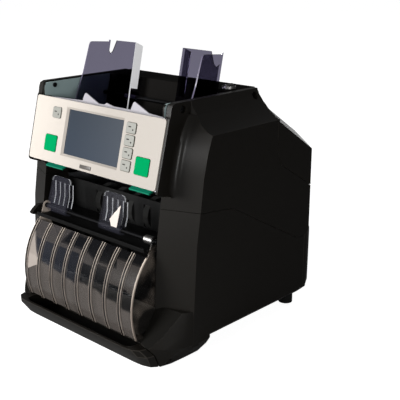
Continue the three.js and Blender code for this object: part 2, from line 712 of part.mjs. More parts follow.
function withSlots(body, slots) {
  return slots.reduce((left, slot) => left.subtract(slot), body);
}

const rejectBack = prism('x', rectangle(shelfRear - sheetWall - fitGap, shelfRear - fitGap,
  shelfTop + fitGap, shelfTop + backPlateHeight), -insideHalf, insideHalf);
add(lowerUnit, 'reject_back_plate', withSlots(rejectBack,
  wheelSlots(rejectWheelXs, rejectWheelWidth, shafts.reject, rejectWheelRadius)), finishes.darkPlastic);

const bushXs = [86, 99];
const bushRadius = 5;
add(lowerUnit, 'front_rod', crossBar(rodPlace[0], rodPlace[1], rodRadius, -rodHalf, rodHalf)
  .add(crossBar(rodPlace[0], rodPlace[1], bushRadius, bushXs[0], bushXs[1])), finishes.steel);

const stopperLength = 41;
const stopperFoot = 6;
const stopperWeb = 2;
const stopperFlange = 8;
const stopperCorner = 7;
const stopperLean = 17;
const stopperSpans = { left: [-93, -56], right: [8, 46] };

function stopper([x0, x1]) {
  const outline = rounded([[x0, 0], [x1, 0], [x1, stopperLength], [x0, stopperLength]], stopperCorner);
  const web = prism('y', outline, -stopperFoot + fitGap, -stopperFoot + fitGap + stopperWeb);
  const flangeTop = stopperLength - stopperCorner;
  const flangeOutline = [[-stopperFoot + fitGap, -fitGap], [stopperFlange / 2, -fitGap],
    [stopperFlange / 2, flangeTop / 2], [0, flangeTop], [-stopperFoot + fitGap, flangeTop]];
  const middle = (x0 + x1) / 2;
  let body = web;
  for (const x of [x0, x0 + (x1 - x0) / 4, middle, x1 - (x1 - x0) / 4, x1 - stopperWeb]) {
    body = body.add(prism('x', flangeOutline, x, x + stopperWeb));
  }
  body = body.add(crossBar(0, 0, stopperFoot, x0, x1, rollerSteps));
  return body.subtract(crossBar(0, 0, rodRadius + fitGap, -overallWidth, overallWidth, rollerSteps));
}

for (const [name, span] of Object.entries(stopperSpans)) {
  const swing = new THREE.Group();
  swing.position.set(0, rodPlace[0], rodPlace[1]);
  swing.rotation.x = -THREE.MathUtils.degToRad(stopperLean);
  lowerUnit.add(swing);
  add(swing, `stopper_${name}`, stopper(span), finishes.clear);
}

// Stacker cover: a ribbed shell on two cheeks with arms to the front rod
const drumCentre = [42, 66];
const drumRadius = 92;
const drumWall = 2;
const drumArc = [136.4, 200.5];
const drumSteps = 10;
const drumHalf = 102.6;
const cheekThick = 2;
const ribPitch = 25.5;
const ribStart = 3.8;
const ribCount = 8;
const ribWidth = 4.6;
const ribHeight = 1.4;
const armRadius = 6;
const cheekRearShares = [[-0.04, 0.125], [0.015, 0.165], [0.03, 0.27], [0, 0.36],
  [-0.03, 0.41], [-0.025, 0.478]];

function stackerCover() {
  const outside = arc(drumCentre, drumRadius, drumArc[0], drumArc[1], drumSteps);
  const inside = arc(drumCentre, drumRadius - drumWall, drumArc[1], drumArc[0], drumSteps);
  let body = prism('x', [...outside, ...inside], -drumHalf, drumHalf);
  const ribBand = [...arc(drumCentre, drumRadius + ribHeight, drumArc[0], drumArc[1], drumSteps),
    ...arc(drumCentre, drumRadius - drumWall / 2, drumArc[1], drumArc[0], drumSteps)];
  for (let i = 0; i < ribCount; i += 1) {
    const x = -drumHalf + ribStart + i * ribPitch;
    body = body.add(prism('x', ribBand, x - ribWidth / 2, x + ribWidth / 2));
  }
  body = body.add(prism('x', ribBand, drumHalf - cheekThick, drumHalf));
  const cheekOutline = [...arc(drumCentre, drumRadius - drumWall / 2, drumArc[0], drumArc[1], drumSteps),
    ...cheekRearShares.map(side), [rodPlace[0] - armRadius, rodPlace[1]]];
  for (const from of [-drumHalf, drumHalf - cheekThick]) {
    body = body.add(prism('x', cheekOutline, from, from + cheekThick));
    body = body.add(crossBar(rodPlace[0], rodPlace[1], armRadius, from, from + cheekThick));
  }
  return body.subtract(crossBar(rodPlace[0], rodPlace[1], rodRadius + fitGap, -overallWidth, overallWidth));
}
const drum = new THREE.Group();
lowerUnit.add(drum);
add(drum, 'stacker_cover', stackerCover(), finishes.smoke);

// Stacker pocket: floor, slotted back plate and wheels
const stackerFloorShares = [[-0.173, 0.122], [0.064, 0.13], [0.086, 0.139]];
const stackerBackShares = [[0.1, 0.146], [0.114, 0.205], [0.114, 0.33], [0.091, 0.389], [0.064, 0.426]];
const stackerWheelRadius = 42;
const stackerWheelXs = [-63, -21, 21, 63];
const stackerWheelWidth = 8;
const vaneCount = 8;
const vaneSteps = 3;
const hubRadius = 12;
const vaneRoot = 9.6;
const vaneThick = 2;
const vaneSweep = 55;

const stackerFloor = band(stackerFloorShares.map(side), sheetWall);
add(lowerUnit, 'stacker_floor', prism('x', stackerFloor, -shelfHalf, shelfHalf), finishes.floorGrey);
const stackerBack = prism('x', band(stackerBackShares.map(side), sheetWall), -insideHalf, insideHalf);
add(lowerUnit, 'stacker_back_plate', withSlots(stackerBack,
  wheelSlots(stackerWheelXs, stackerWheelWidth, shafts.stacker, stackerWheelRadius)), finishes.darkPlastic);

// One curved vane from the hub to the rim of a stacker wheel
function vane(start) {
  const near = [];
  const far = [];
  for (let i = 0; i <= vaneSteps; i += 1) {
    const t = i / vaneSteps;
    const radius = vaneRoot + t * (stackerWheelRadius - vaneRoot);
    const angle = THREE.MathUtils.degToRad(start + vaneSweep * t * t);
    const half = vaneThick / 2 / radius;
    near.push([radius * Math.cos(angle - half), radius * Math.sin(angle - half)]);
    far.push([radius * Math.cos(angle + half), radius * Math.sin(angle + half)]);
  }
  return [...near, ...far.reverse()];
}

function stackerWheels() {
  const { y, z, radius } = shafts.stacker;
  let body = crossBar(y, z, radius, -frameOuter - seamGap, frameOuter + seamGap);
  for (const x of stackerWheelXs) {
    body = body.add(crossBar(y, z, hubRadius, x - stackerWheelWidth / 2, x + stackerWheelWidth / 2,
      rollerSteps));
    for (let i = 0; i < vaneCount; i += 1) {
      body = body.add(prism('x', vane((i * 360) / vaneCount), x - stackerWheelWidth / 2,
        x + stackerWheelWidth / 2).translate([0, y, z]));
    }
  }
  return body;
}
const stackerShaft = new THREE.Group();
lowerUnit.add(stackerShaft);
add(stackerShaft, 'stacker_wheels', stackerWheels(), finishes.rubber);

// Shafts with plain round rollers
function rollerShaft(y, z, radius, half, rollers, rollerSize, width) {
  let body = crossBar(y, z, radius, -half, half, roundSteps / 2);
  for (const x of rollers) {
    body = body.add(crossBar(y, z, rollerSize, x - width / 2, x + width / 2, rollerSteps));
  }
  return body;
}

const lowerShaftHalf = frameOuter + seamGap;
const rejectShaft = new THREE.Group();
lowerUnit.add(rejectShaft);
add(rejectShaft, 'reject_wheels', rollerShaft(shafts.reject.y, shafts.reject.z, shafts.reject.radius,
  lowerShaftHalf, rejectWheelXs, rejectWheelRadius, rejectWheelWidth), finishes.rubber);

const transportXs = [-66, -22, 22, 66];
const transportWidth = 16;
driveSpots.forEach(([y, z]) => {
  const spin = new THREE.Group();
  lowerUnit.add(spin);
  add(spin, 'drive_roller', rollerShaft(y, z, shafts.stacker.radius, lowerShaftHalf,
    transportXs, rollerRadius, transportWidth), finishes.rubber);
});

// Note path plates on either side of the parting line
const lowerPathShares = [0.07, 0.99];
const upperPathShares = [0, 0.97];

function rollerSlots(spots, radius) {
  return spots.flatMap(([y, z]) => transportXs.map((x) => crossBar(y, z, radius + slotSlack,
    x - transportWidth / 2 - slotSlack, x + transportWidth / 2 + slotSlack)));
}

const lowerPath = band(lowerPathShares.map((share) => onSlope(share, -railClear - sheetWall)), sheetWall);
const lowerPathPlate = prism('x', lowerPath, -frameInner + fitGap, frameInner - fitGap);
add(lowerUnit, 'lower_path_plate', withSlots(lowerPathPlate, rollerSlots(driveSpots, rollerRadius)),
  finishes.steel);

// Drive motor, main board
const motorPlace = [150, 62];
const motorRadius = 17;
const motorLength = 44;
const motorBossRadius = 8;
const motorBoss = 5;
const motorEnd = -frameInner + fitGap;
const boardThick = 1.6;
const boardSize = [150, 58];
const boardGap = 12;
const boardPlace = [rearSplit - boardGap, 66];

add(lowerUnit, 'drive_motor', crossBar(motorPlace[0], motorPlace[1], motorRadius, motorEnd,
  motorEnd + motorLength).add(crossBar(motorPlace[0], motorPlace[1], motorBossRadius,
  motorEnd + motorLength - motorBoss, motorEnd + motorLength + motorBoss)), finishes.steel);
add(lowerUnit, 'main_board', block([-boardSize[0] / 2, boardSize[0] / 2],
  [boardPlace[0], boardPlace[0] + boardThick],
  [panTop + fitGap, panTop + fitGap + boardSize[1]]), finishes.board);

// Upper side covers, rear cover and top deck
const rearSeamShares = [[0.664, 1.2], [0.664, 0.884], [0.673, 0.79], [0.683, 0.73], [0.706, 0.698],
  [0.937, 0.595], [1.2, 0.478]];
const rearTongueHalf = 103.6;
const lipShares = [[0.032, 1], [0.0095, 0.993], [0.001, 0.978], [-0.005, 0.953]];
const lipBack = 1.2;
const lipFoot = 83;
const lipRound = 5;
const wellShares = [[0.083, 0.973], [0.63, 0.973]];
const wellRadius = 4.5;
const wellDepth = 4;
const wellWall = 1.2;

function rearCoverRegion(gap) {
  const line = rearSeamShares.map(side).map(([y, z]) => [y + gap, z + gap]);
  const outline = [...line, [line[line.length - 1][0], line[0][1]]];
  const tongue = block([-rearTongueHalf + gap, rearTongueHalf - gap],
    [hingeY - hingeArc * 2, bodyDepth * 2], [0, bodyHeight]);
  return prism('x', outline, -overallWidth, overallWidth).add(tongue);
}

// Depth of the column's front facet at a level and an X
function facetAt(level, x) {
  const next = creaseShares.findIndex(([, share]) => share >= level);
  const [lowY, lowZ] = creaseShares[next - 1];
  const [highY, highZ] = creaseShares[next];
  const y = lowY + ((highY - lowY) * (level - lowZ)) / (highZ - lowZ);
  return y * bodyDepth - (sideHalf - x) * columnSweep;
}

// Cheek beside the control panel: it frames the bezel's edge and closes the gap behind it
function cheek() {
  const floorZ = recessFloorShare * bodyHeight;
  const embed = recessDepth + coverWall / 2;
  const topRear = [embed + recessLean * (bodyHeight - floorZ), bodyHeight];
  const heel = [facetAt(recessFloorShare, rimHalf) + coverWall, floorZ];
  const brow = panelPoint(0, lipBack);
  const foot = roundedCorner(brow, panelPoint(lipFoot, lipBack), heel, lipRound);
  const outline = [...lipShares.map(side), brow, ...foot, heel, [embed, floorZ], topRear];
  const bezelRoom = [panelPoint(-fitGap, -panelThick), panelPoint(panelSize[1] * 2, -panelThick),
    panelPoint(panelSize[1] * 2, panelThick + fitGap), panelPoint(-fitGap, panelThick + fitGap)];
  return prism('x', outline, rimInner, rimHalf)
    .subtract(prism('x', bezelRoom, 0, panelSize[0] / 2 + fitGap));
}

// The hollow round where the cheek's outer face meets the column's front facet
function cheekFillet() {
  const stretch = Math.hypot(1, columnSweep);
  const embed = coverWall / 2;
  const rings = filletLevelShares.map(([level, grow]) => {
    const reach = filletRound * grow;
    const y = facetAt(level, rimHalf);
    const run = reach / stretch;
    const curve = roundedCorner([rimHalf, y - reach * 2], [rimHalf, y],
      [rimHalf + run * 2, y + run * columnSweep * 2], reach);
    const points = [[rimHalf - embed, y - reach], ...curve,
      [rimHalf + run, y + run * columnSweep + embed], [rimHalf - embed, y + embed]];
    return { z: level * bodyHeight, points };
  });
  return loft(rings).subtract(shoulderCutter(0));
}

function withWells(cover) {
  const floorX = rimHalf - wellDepth;
  return wellShares.map(side).reduce((body, [y, z]) => {
    const cup = crossBar(y, z, wellRadius + wellWall, floorX - wellWall, sideHalf, rollerSteps);
    return body.add(cup.intersect(outerSkin))
      .subtract(crossBar(y, z, wellRadius, floorX, overallWidth, rollerSteps));
  }, cover);
}

function upperSideCover() {
  const keep = block([rimInner, overallWidth], everyY, everyZ)
    .add(block([pocketHalf, overallWidth], everyY, [-bodyHeight, recessFloorShare * bodyHeight]));
  const shell = coverShell.intersect(upperRegion()).intersect(keep).subtract(rearCoverRegion(0));
  return withWells(shell.add(cheek()).add(cheekFillet()));
}
both(upperUnit, 'upper_side_cover', upperSideCover(), finishes.casing);

const deckFront = 108.6;
const deckRearShare = 0.6845;
const deckRear = deckRearShare * bodyDepth;
function upperRearCover() {
  const deckCut = block([-rimInner, rimInner], [0, deckRear + seamGap], everyZ);
  return coverShell.subtract(columnCore).intersect(upperRegion()).intersect(rearCoverRegion(seamGap))
    .subtract(deckCut);
}
add(upperUnit, 'upper_rear_cover', upperRearCover(), finishes.casing);

const deckHalf = rimInner - fitGap;
const backLean = 0.241;
const hopperBackDrop = 45;
const knobPlace = [97, 118];
const knobStem = 3;

function topDeck() {
  const plate = block([-deckHalf, deckHalf], [deckFront, deckRear], [bodyHeight - coverWall, bodyHeight]);
  const foot = [deckFront - backLean * hopperBackDrop, bodyHeight - hopperBackDrop];
  const wall = [[deckFront, bodyHeight], [deckFront + coverWall, bodyHeight],
    [foot[0] + coverWall, foot[1]], foot];
  return plate.add(prism('x', wall, -insideHalf, insideHalf))
    .subtract(upright(knobPlace[0], knobPlace[1], knobStem + fitGap, 0, bodyHeight * 2));
}
add(upperUnit, 'top_deck', topDeck(), finishes.casingSatin);

const knobRadius = 8.5;
const knobHeight = 4;
const knobGrip = 2;
const knobReach = 12;
const knobBody = new THREE.Group();
upperUnit.add(knobBody);
add(knobBody, 'gap_knob', upright(knobPlace[0], knobPlace[1], knobStem, bodyHeight - knobReach,
  bodyHeight + knobHeight).add(upright(knobPlace[0], knobPlace[1], knobRadius, bodyHeight + fitGap,
  bodyHeight + knobHeight)).add(block([knobPlace[0] - knobGrip / 2, knobPlace[0] + knobGrip / 2],
  [knobPlace[1] - knobRadius + knobGrip, knobPlace[1] + knobRadius - knobGrip],
  [bodyHeight + knobHeight - fitGap, bodyHeight + knobHeight + knobGrip])), finishes.casingSatin);

// Upper chassis plates
const upperFrameOutline = [
  [columnReturnDepth + railClear, partingShares[1][1] * bodyHeight + railClear / 2],
  [slopeTopY, slopeTopZ + railClear / 2], onSlope(1, railClear / 2), [hingeY, hingeZ],
  [rearFaceShare * bodyDepth - coverWall * 3, hingeZ + hingeArc * 2],
  [rearFaceShare * bodyDepth - coverWall * 3, rearTopShares[1] * bodyHeight - coverWall * 6],
  [deckRear, bodyHeight - coverWall * 12], [deckRear - coverWall * 4, bodyHeight - coverWall * 2],
  [columnReturnDepth + railClear, bodyHeight - coverWall * 2],
];
const pickup = { y: 52, z: 232, radius: 4, roller: 13 };
const feed = { y: 19, z: 226, radius: 4, roller: 11 };
const upperHoles = [[hingeY, hingeZ, hingePinRadius], [pickup.y, pickup.z, pickup.radius],
  ...idlerSpots.map(([y, z]) => [y, z, shafts.stacker.radius])];
both(upperUnit, 'upper_frame', framePlate(upperFrameOutline, upperHoles, upperFrameInner), finishes.steel);

const upperShaftHalf = hingePinHalf;
const upperPathFrontShares = [[0.1, 0.67], [0.2, 0.657]];
const upperPath = band([...upperPathFrontShares.map(side),
  ...upperPathShares.map((share) => onSlope(share, railClear))], sheetWall);
const upperPathHalf = upperFrameInner - fitGap;
const upperPathPlate = prism('x', upperPath, -upperPathHalf, upperPathHalf);
add(upperUnit, 'upper_path_plate', withSlots(upperPathPlate, rollerSlots(idlerSpots, idlerRadius)),
  finishes.steel);
idlerSpots.forEach(([y, z]) => {
  const spin = new THREE.Group();
  upperUnit.add(spin);
  add(spin, 'idler_roller', rollerShaft(y, z, shafts.stacker.radius, upperShaftHalf,
    transportXs, idlerRadius, transportWidth), finishes.rubber);
});

// Hopper: floor, side walls, rollers and guide rail
const floorShares = [[0.109, 0.779], [0.445, 0.838]];
const floorLine = floorShares.map(side);
const hopperWallDrop = 1.4;
const hopperWallTop = bodyHeight - hopperWallDrop;
const pickupXs = [-34, 34];
const pickupWidth = 22;
const hopperFloorBand = band(floorLine, sheetWall);
const pickupSlots = pickupXs.map((x) => crossBar(pickup.y, pickup.z, pickup.roller + slotSlack,
  x - pickupWidth / 2 - slotSlack, x + pickupWidth / 2 + slotSlack));
add(upperUnit, 'hopper_floor', withSlots(prism('x', hopperFloorBand, -insideHalf, insideHalf), pickupSlots),
  finishes.darkPlastic);
const pickupBody = new THREE.Group();
upperUnit.add(pickupBody);
add(pickupBody, 'pickup_roller', rollerShaft(pickup.y, pickup.z, pickup.radius, upperShaftHalf,
  pickupXs, pickup.roller, pickupWidth), finishes.rubber);
const feedBody = new THREE.Group();
upperUnit.add(feedBody);
add(feedBody, 'feed_roller', rollerShaft(feed.y, feed.z, feed.radius, frameInner - fitGap,
  pickupXs, feed.roller, pickupWidth), finishes.rubber);

// Everything on the slanted control panel is drawn from the middle of its top edge
const panelSkin = 2.5;
const panelCorner = 3.5;
const panel = new THREE.Group();
panel.position.set(0, panelTopEdge[0], panelTopEdge[1]);
panel.rotation.x = THREE.MathUtils.degToRad(90 - panelTilt);
upperUnit.add(panel);

const screenSpan = [-51, 46.5];
const screenDown = [10.8, 64.6];
const screenBevel = 3;
const smallKey = [15.4, 11.8];
const smallKeyPitch = 14.35;
const smallKeyCorner = 2;
const loneKey = [15.4, 13.2];
const smallKeyCentre = [63.2, 16.9];
const loneKeyCentre = [-71.4, 17.4];
const greenKey = [22, 20];
const greenKeyCentres = { left: [-75.2, 55.8], right: [89.7, 56.4] };
const keyTravel = 1;
const keyProud = 1.2;
const keyFlange = 0.9;
const keyFlangeThick = 1.3;
const housingDepth = 7.6;
const housingHalf = 108;
const housingMargin = 2.4;
const pcbBack = 10.6;
const pcbThick = 1.6;

const keys = [{ name: 'key_menu', centre: loneKeyCentre, size: loneKey, finish: finishes.keyGrey }];
for (let i = 0; i < 4; i += 1) {
  keys.push({ name: `key_${i + 1}`, centre: [smallKeyCentre[0], smallKeyCentre[1] + i * smallKeyPitch],
    size: smallKey, finish: finishes.keyGrey });
}
for (const [name, centre] of Object.entries(greenKeyCentres)) {
  keys.push({ name: `key_start_${name}`, centre, size: greenKey, finish: finishes.keyGreen });
}

function keyOutline({ centre, size }, grow) {
  const [x, down] = centre;
  return rounded(rectangle(x - size[0] / 2 - grow, x + size[0] / 2 + grow,
    -down - size[1] / 2 - grow, -down + size[1] / 2 + grow), smallKeyCorner);
}

function bezel() {
  const face = rounded(rectangle(-panelSize[0] / 2, panelSize[0] / 2, -panelSize[1], 0), panelCorner);
  let body = prism('z', face, -panelThick, 0);
  const inner = rounded(rectangle(-panelSize[0] / 2 + panelSkin, panelSize[0] / 2 - panelSkin,
    -panelSize[1] + panelSkin, -panelSkin), panelCorner);
  body = body.subtract(prism('z', inner, -panelThick - cutOverrun, -panelSkin));
  const windowAt = (grow) => rectangle(screenSpan[0] - grow, screenSpan[1] + grow,
    -screenDown[1] - grow, -screenDown[0] + grow);
  body = body.subtract(loft([{ z: -panelSkin - fitGap, points: windowAt(0) },
    { z: 0, points: windowAt(screenBevel) }, { z: panelSkin, points: windowAt(screenBevel * 2) }]));
  for (const key of keys) body = body.subtract(prism('z', keyOutline(key, fitGap), -cutOverrun, cutOverrun));
  return body;
}
add(panel, 'panel_bezel', bezel(), finishes.panelWhite);

add(panel, 'display', prism('z', rectangle(screenSpan[0] - sheetWall, screenSpan[1] + sheetWall,
  -screenDown[1] - sheetWall, -screenDown[0] + sheetWall), -panelSkin - fitGap - sheetWall,
-panelSkin - fitGap), finishes.glass);

function panelHousing() {
  const outline = rectangle(-housingHalf, housingHalf, -panelSize[1] + housingMargin, -housingMargin);
  const body = prism('z', outline, -panelThick - fitGap - housingDepth, -panelThick - fitGap);
  const cavity = inset(outline, sheetWall);
  return body.subtract(prism('z', cavity, -panelThick - fitGap - housingDepth + sheetWall, cutOverrun));
}
add(panel, 'panel_housing', panelHousing(), finishes.darkPlastic);

const pcbOutline = inset(rectangle(-housingHalf, housingHalf, -panelSize[1] + housingMargin,
  -housingMargin), sheetWall + fitGap);
add(panel, 'panel_board', prism('z', pcbOutline, -pcbBack, -pcbBack + pcbThick), finishes.board);

const keyBack = pcbBack - pcbThick - keyTravel - fitGap;
for (const key of keys) {
  const press = new THREE.Group();
  panel.add(press);
  const cap = prism('z', keyOutline(key, 0), -panelThick, keyProud);
  const flangeTop = -panelSkin - fitGap;
  const flange = prism('z', keyOutline(key, keyFlange), flangeTop - keyFlangeThick, flangeTop);
  const stem = prism('z', keyOutline(key, -smallKey[1] / 4), -keyBack, -panelSkin);
  add(press, key.name, cap.add(flange).add(stem), key.finish);
}

// White front plate of the hopper with its fins
const frontPlateGap = 0.6;
const frontPlateBack = panelThick + fitGap + housingDepth + frontPlateGap;
const frontPlateLow = -48;
const frontPlateTop = 2.5;
const finPeak = 12.5;
const finCentres = [-41.5, 45.5];
const finRun = [4.5, 26];
const smallFinRun = [5, 13];
const smallFinCentre = -2;
const smallFinPeak = 5;

function hopperFrontPlate() {
  const outline = [[insideHalf, frontPlateLow], [insideHalf, frontPlateTop - sheetWall]];
  const peaks = [[finCentres[1], finPeak, finRun], [smallFinCentre, smallFinPeak, smallFinRun],
    [finCentres[0], finPeak, finRun]];
  for (const [x, peak, run] of peaks) {
    outline.push([x + run[1], frontPlateTop], [x, peak], [x - run[0] / 2, peak - sheetWall],
      [x - run[0], frontPlateTop]);
  }
  outline.push([-insideHalf, frontPlateTop - sheetWall], [-insideHalf, frontPlateLow]);
  return prism('z', outline, -frontPlateBack - sheetWall, -frontPlateBack);
}
add(panel, 'hopper_front_plate', hopperFrontPlate(), finishes.finWhite);

// Hopper side walls follow the front plate, the floor and the deck wall
const wallFront = panelThick + fitGap + housingDepth + fitGap;
const wallOver = 1;
const wallLipBack = 3.2;
const wallLipRound = 7;
const wallEarShares = [[0.014, 0.72], [0.014, 0.67], [0.073, 0.67], [0.14, 0.71], [0.16, 0.78]];
const wallLip = panelPoint(-wallOver, wallLipBack);
const wallTopRear = [deckFront - backLean * hopperWallDrop - seamGap, hopperWallTop];
const hopperWallOutline = [panelPoint(-frontPlateLow, wallFront), ...wallEarShares.map(side),
  [floorLine[1][0] - sheetWall, floorLine[1][1]], wallTopRear,
  ...roundedCorner(wallTopRear, [wallLip[0], hopperWallTop], wallLip, wallLipRound),
  wallLip, panelPoint(-wallOver, wallFront)];
const hopperWallInner = insideHalf + fitGap;
const leverPlace = [9, 208];
const leverRadius = 3;
const hopperWallOuter = frameInner - fitGap;
const hopperWall = prism('x', hopperWallOutline, hopperWallInner, hopperWallOuter)
  .subtract(crossBar(feed.y, feed.z, feed.radius + fitGap, 0, overallWidth))
  .subtract(crossBar(leverPlace[0], leverPlace[1], leverRadius + fitGap, 0, overallWidth));
both(upperUnit, 'hopper_wall', hopperWall, finishes.hopperGrey);

// Cross beam that carries the panel, the front plate and the release lever
const beamShares = [[0.007, 0.7], [0.075, 0.7], [0.075, 0.7065], [0.021, 0.7065], [0.021, 0.778],
  [0.007, 0.778]];
add(upperUnit, 'front_beam', prism('x', beamShares.map(side), -insideHalf, insideHalf), finishes.darkPlastic);

const tabCentre = 78;
const tabWidth = 33;
const tabShares = [[-0.059, 0.657], [-0.009, 0.67], [0.041, 0.678]];
function releaseLever() {
  let body = crossBar(leverPlace[0], leverPlace[1], leverRadius, -hopperWallOuter, hopperWallOuter);
  for (const x of [-tabCentre, tabCentre]) {
    body = body.add(prism('x', band(tabShares.map(side), sheetWall), x - tabWidth / 2, x + tabWidth / 2));
  }
  return body;
}
const leverBody = new THREE.Group();
upperUnit.add(leverBody);
add(leverBody, 'release_lever', releaseLever(), finishes.leverGreen);

// Note guides: a bent sheet with a carriage behind it that slides along a rail
const guideTopShares = [0.4673, 1.146];
const guideLean = 12.6;
const guideSkew = 0.1;
const guideLength = 92;
const guideFold = 100;
const guideInner = 41.3;
const guideFlange = 13.4;
const guideFlangeLength = 58;
const guideFlangeDrop = 3;
const guideForeTop = 32;
const guideForeDrops = [2, 6.5];
const guideForeFoot = 46;
const guideNotch = [9, 15, 18];
const guideTopRound = 4;
const railPlace = [96.8, 278];
const railRadius = 2.5;
const carriageWidth = 20;
const carriageHeight = 12;
const carriageWall = 1.2;

const guideTop = side(guideTopShares);

// Sets a guide drawn upright with its fold at the origin into its leaning, slightly turned place
function leant(body) {
  const skew = [1, guideSkew, 0, 0, 0, 1, 0, 0, 0, 0, 1, 0, 0, -guideSkew * guideFold, 0, 1];
  return body.transform(skew).rotate([-guideLean, 0, 0]).translate([0, guideTop[0], guideTop[1]]);
}

function guideSheet() {
  const back = [[guideInner, -guideLength], [guideFold, -guideLength], [guideFold, 0],
    [guideFold - sheetWall, 0], [guideFold - sheetWall, -guideNotch[2] + guideTopRound],
    [guideFold - sheetWall - guideNotch[0] / 2, -guideNotch[2]],
    [guideFold - sheetWall - guideNotch[0], -guideNotch[2] + guideTopRound],
    [guideFold - sheetWall - guideNotch[1], 0], [guideInner, 0]];
  const fore = rounded([[sheetWall, -guideLength], [sheetWall, -guideForeDrops[0]],
    [-guideForeTop, -guideForeDrops[1]],
    [-guideForeTop - (guideForeFoot - guideForeTop) / 3, -guideLength / 2],
    [-guideForeFoot, -guideLength]], guideTopRound);
  const flange = [[0, -guideFlangeLength], [guideFlange, -guideFlangeLength],
    [guideFlange, -guideFlangeDrop], [0, 0]];
  return leant(prism('y', back, 0, sheetWall)
    .add(prism('x', fore, guideFold - sheetWall, guideFold))
    .add(prism('x', flange, guideInner, guideInner + sheetWall)));
}

function guideCarriage() {
  const rear = railPlace[0] + railRadius + carriageWall;
  const halfHeight = carriageHeight / 2;
  const ahead = leant(block([0, overallWidth], [-bodyDepth, sheetWall / 2], [-bodyHeight, bodyHeight]));
  return block([guideInner + sheetWall / 2, guideInner + sheetWall + carriageWidth],
    [railPlace[0] - cutOverrun, rear], [railPlace[1] - halfHeight, railPlace[1] + halfHeight])
    .subtract(ahead)
    .subtract(crossBar(railPlace[0], railPlace[1], railRadius + fitGap, 0, overallWidth));
}

for (const [name, sign] of [['right', 1], ['left', -1]]) {
  const slide = new THREE.Group();
  upperUnit.add(slide);
  const guide = guideSheet().add(guideCarriage());
  add(slide, `guide_${name}`, sign > 0 ? guide : mirrored(guide), finishes.smoke);
}
add(upperUnit, 'guide_rail', crossBar(railPlace[0], railPlace[1], railRadius, -insideHalf, insideHalf),
  finishes.steel);

// The machine stands centred on its own box
const frontReach = trayPlanShares[2][0][1] * bodyDepth;
machine.position.set(0, -(frontReach + rearFaceY) / 2, 0);
export default machine;
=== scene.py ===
"""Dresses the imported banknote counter: moulded skins, finishes, small fittings, stage and camera."""

import json
import math

import bpy
from bpy.props import FloatProperty, FloatVectorProperty, PointerProperty
from mathutils import Matrix, Vector


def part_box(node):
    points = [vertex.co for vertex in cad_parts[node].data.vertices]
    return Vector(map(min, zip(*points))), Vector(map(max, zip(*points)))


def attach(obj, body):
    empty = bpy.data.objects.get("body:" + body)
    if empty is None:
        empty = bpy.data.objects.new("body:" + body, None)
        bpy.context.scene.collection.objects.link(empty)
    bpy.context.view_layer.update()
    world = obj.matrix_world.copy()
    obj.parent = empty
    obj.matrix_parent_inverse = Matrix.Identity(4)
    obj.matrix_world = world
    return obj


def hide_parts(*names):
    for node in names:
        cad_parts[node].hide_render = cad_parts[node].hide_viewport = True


bl_info = {
    "name": "Banknote counter",
    "version": (1, 0, 0),
    "blender": (4, 5, 0),
    "location": "View3D > Sidebar > Counter",
    "description": "Dresses a desktop banknote counter piece by piece",
    "category": "Object",
}

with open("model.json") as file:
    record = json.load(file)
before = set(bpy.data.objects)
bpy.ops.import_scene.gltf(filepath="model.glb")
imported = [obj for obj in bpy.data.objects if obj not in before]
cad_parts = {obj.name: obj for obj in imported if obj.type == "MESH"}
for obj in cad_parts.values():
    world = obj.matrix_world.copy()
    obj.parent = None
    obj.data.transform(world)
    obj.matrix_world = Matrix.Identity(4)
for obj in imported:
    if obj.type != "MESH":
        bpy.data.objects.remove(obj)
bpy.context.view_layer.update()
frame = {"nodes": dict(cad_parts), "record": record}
NODES = frame["nodes"]
BODIES = frame["record"]["behaviour"]["bodies"]
SLOT_OF = {entry["node"]: entry["material_slot"] for entry in frame["record"]["subparts"]}

MM = 0.001
SIDES = {"left": -1.0, "right": 1.0}
SMALL_KEYS = ("key_menu", "key_1", "key_2", "key_3", "key_4")
START_KEYS = ("key_start_left", "key_start_right")
WHITE = (1.0, 1.0, 1.0, 1.0)


def middle(node):
    """The middle of a CAD node's box."""
    low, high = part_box(node)
    return (Vector(low) + Vector(high)) / 2.0


def linear(red, green, blue):
    """Turns 0 to 255 screen values into the shader's linear ones."""
    def one(value):
        share = value / 255.0
        if share <= 0.04045:
            return share / 12.92
        return ((share + 0.055) / 1.055) ** 2.4
    return (one(red), one(green), one(blue), 1.0)


def shaded(colour, share):
    """A colour made darker or lighter by a share."""
    return tuple(min(1.0, channel * share) for channel in colour[:3]) + (1.0,)


# Rod in front of the reject pocket, and how far it lies ahead of the foot of the front columns
ROD = middle("front_rod")
ROD_AHEAD = 11.0 * MM
COLUMN_FOOT_Y = ROD.y + ROD_AHEAD

# Control panel: its top edge is this far ahead of the columns' foot, and it leans back from upright
PANEL_AHEAD = 4.0 * MM
PANEL_LEAN = math.radians(14.44)
PANEL_TOP = Vector((0.0, COLUMN_FOOT_Y - PANEL_AHEAD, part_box("panel_bezel")[1][2]))
PANEL_PLACE = Matrix.Translation(PANEL_TOP) @ Matrix.Rotation(math.pi / 2.0 - PANEL_LEAN, 4, "X")

# Stacker cover: its axis, where its rim and ends begin, the top of its cheeks, and its first bay
COVER_Y = COLUMN_FOOT_Y + 42.0 * MM
COVER_Z = 66.0 * MM
COVER_RIM_RADIUS = 91.6 * MM
COVER_END = 100.4 * MM
COVER_CHEEK_TOP = 129.4 * MM
COVER_FIRST_BAY = -75.6 * MM

# Stacker cover: the first rib's middle, the pitch, and the painted highlight line along each edge of a rib
RIB_START = -98.8 * MM
RIB_PITCH = 25.5 * MM
RIB_LINE_OFF = 1.9 * MM
RIB_LINE_HALF = 0.32 * MM


# Shader maths


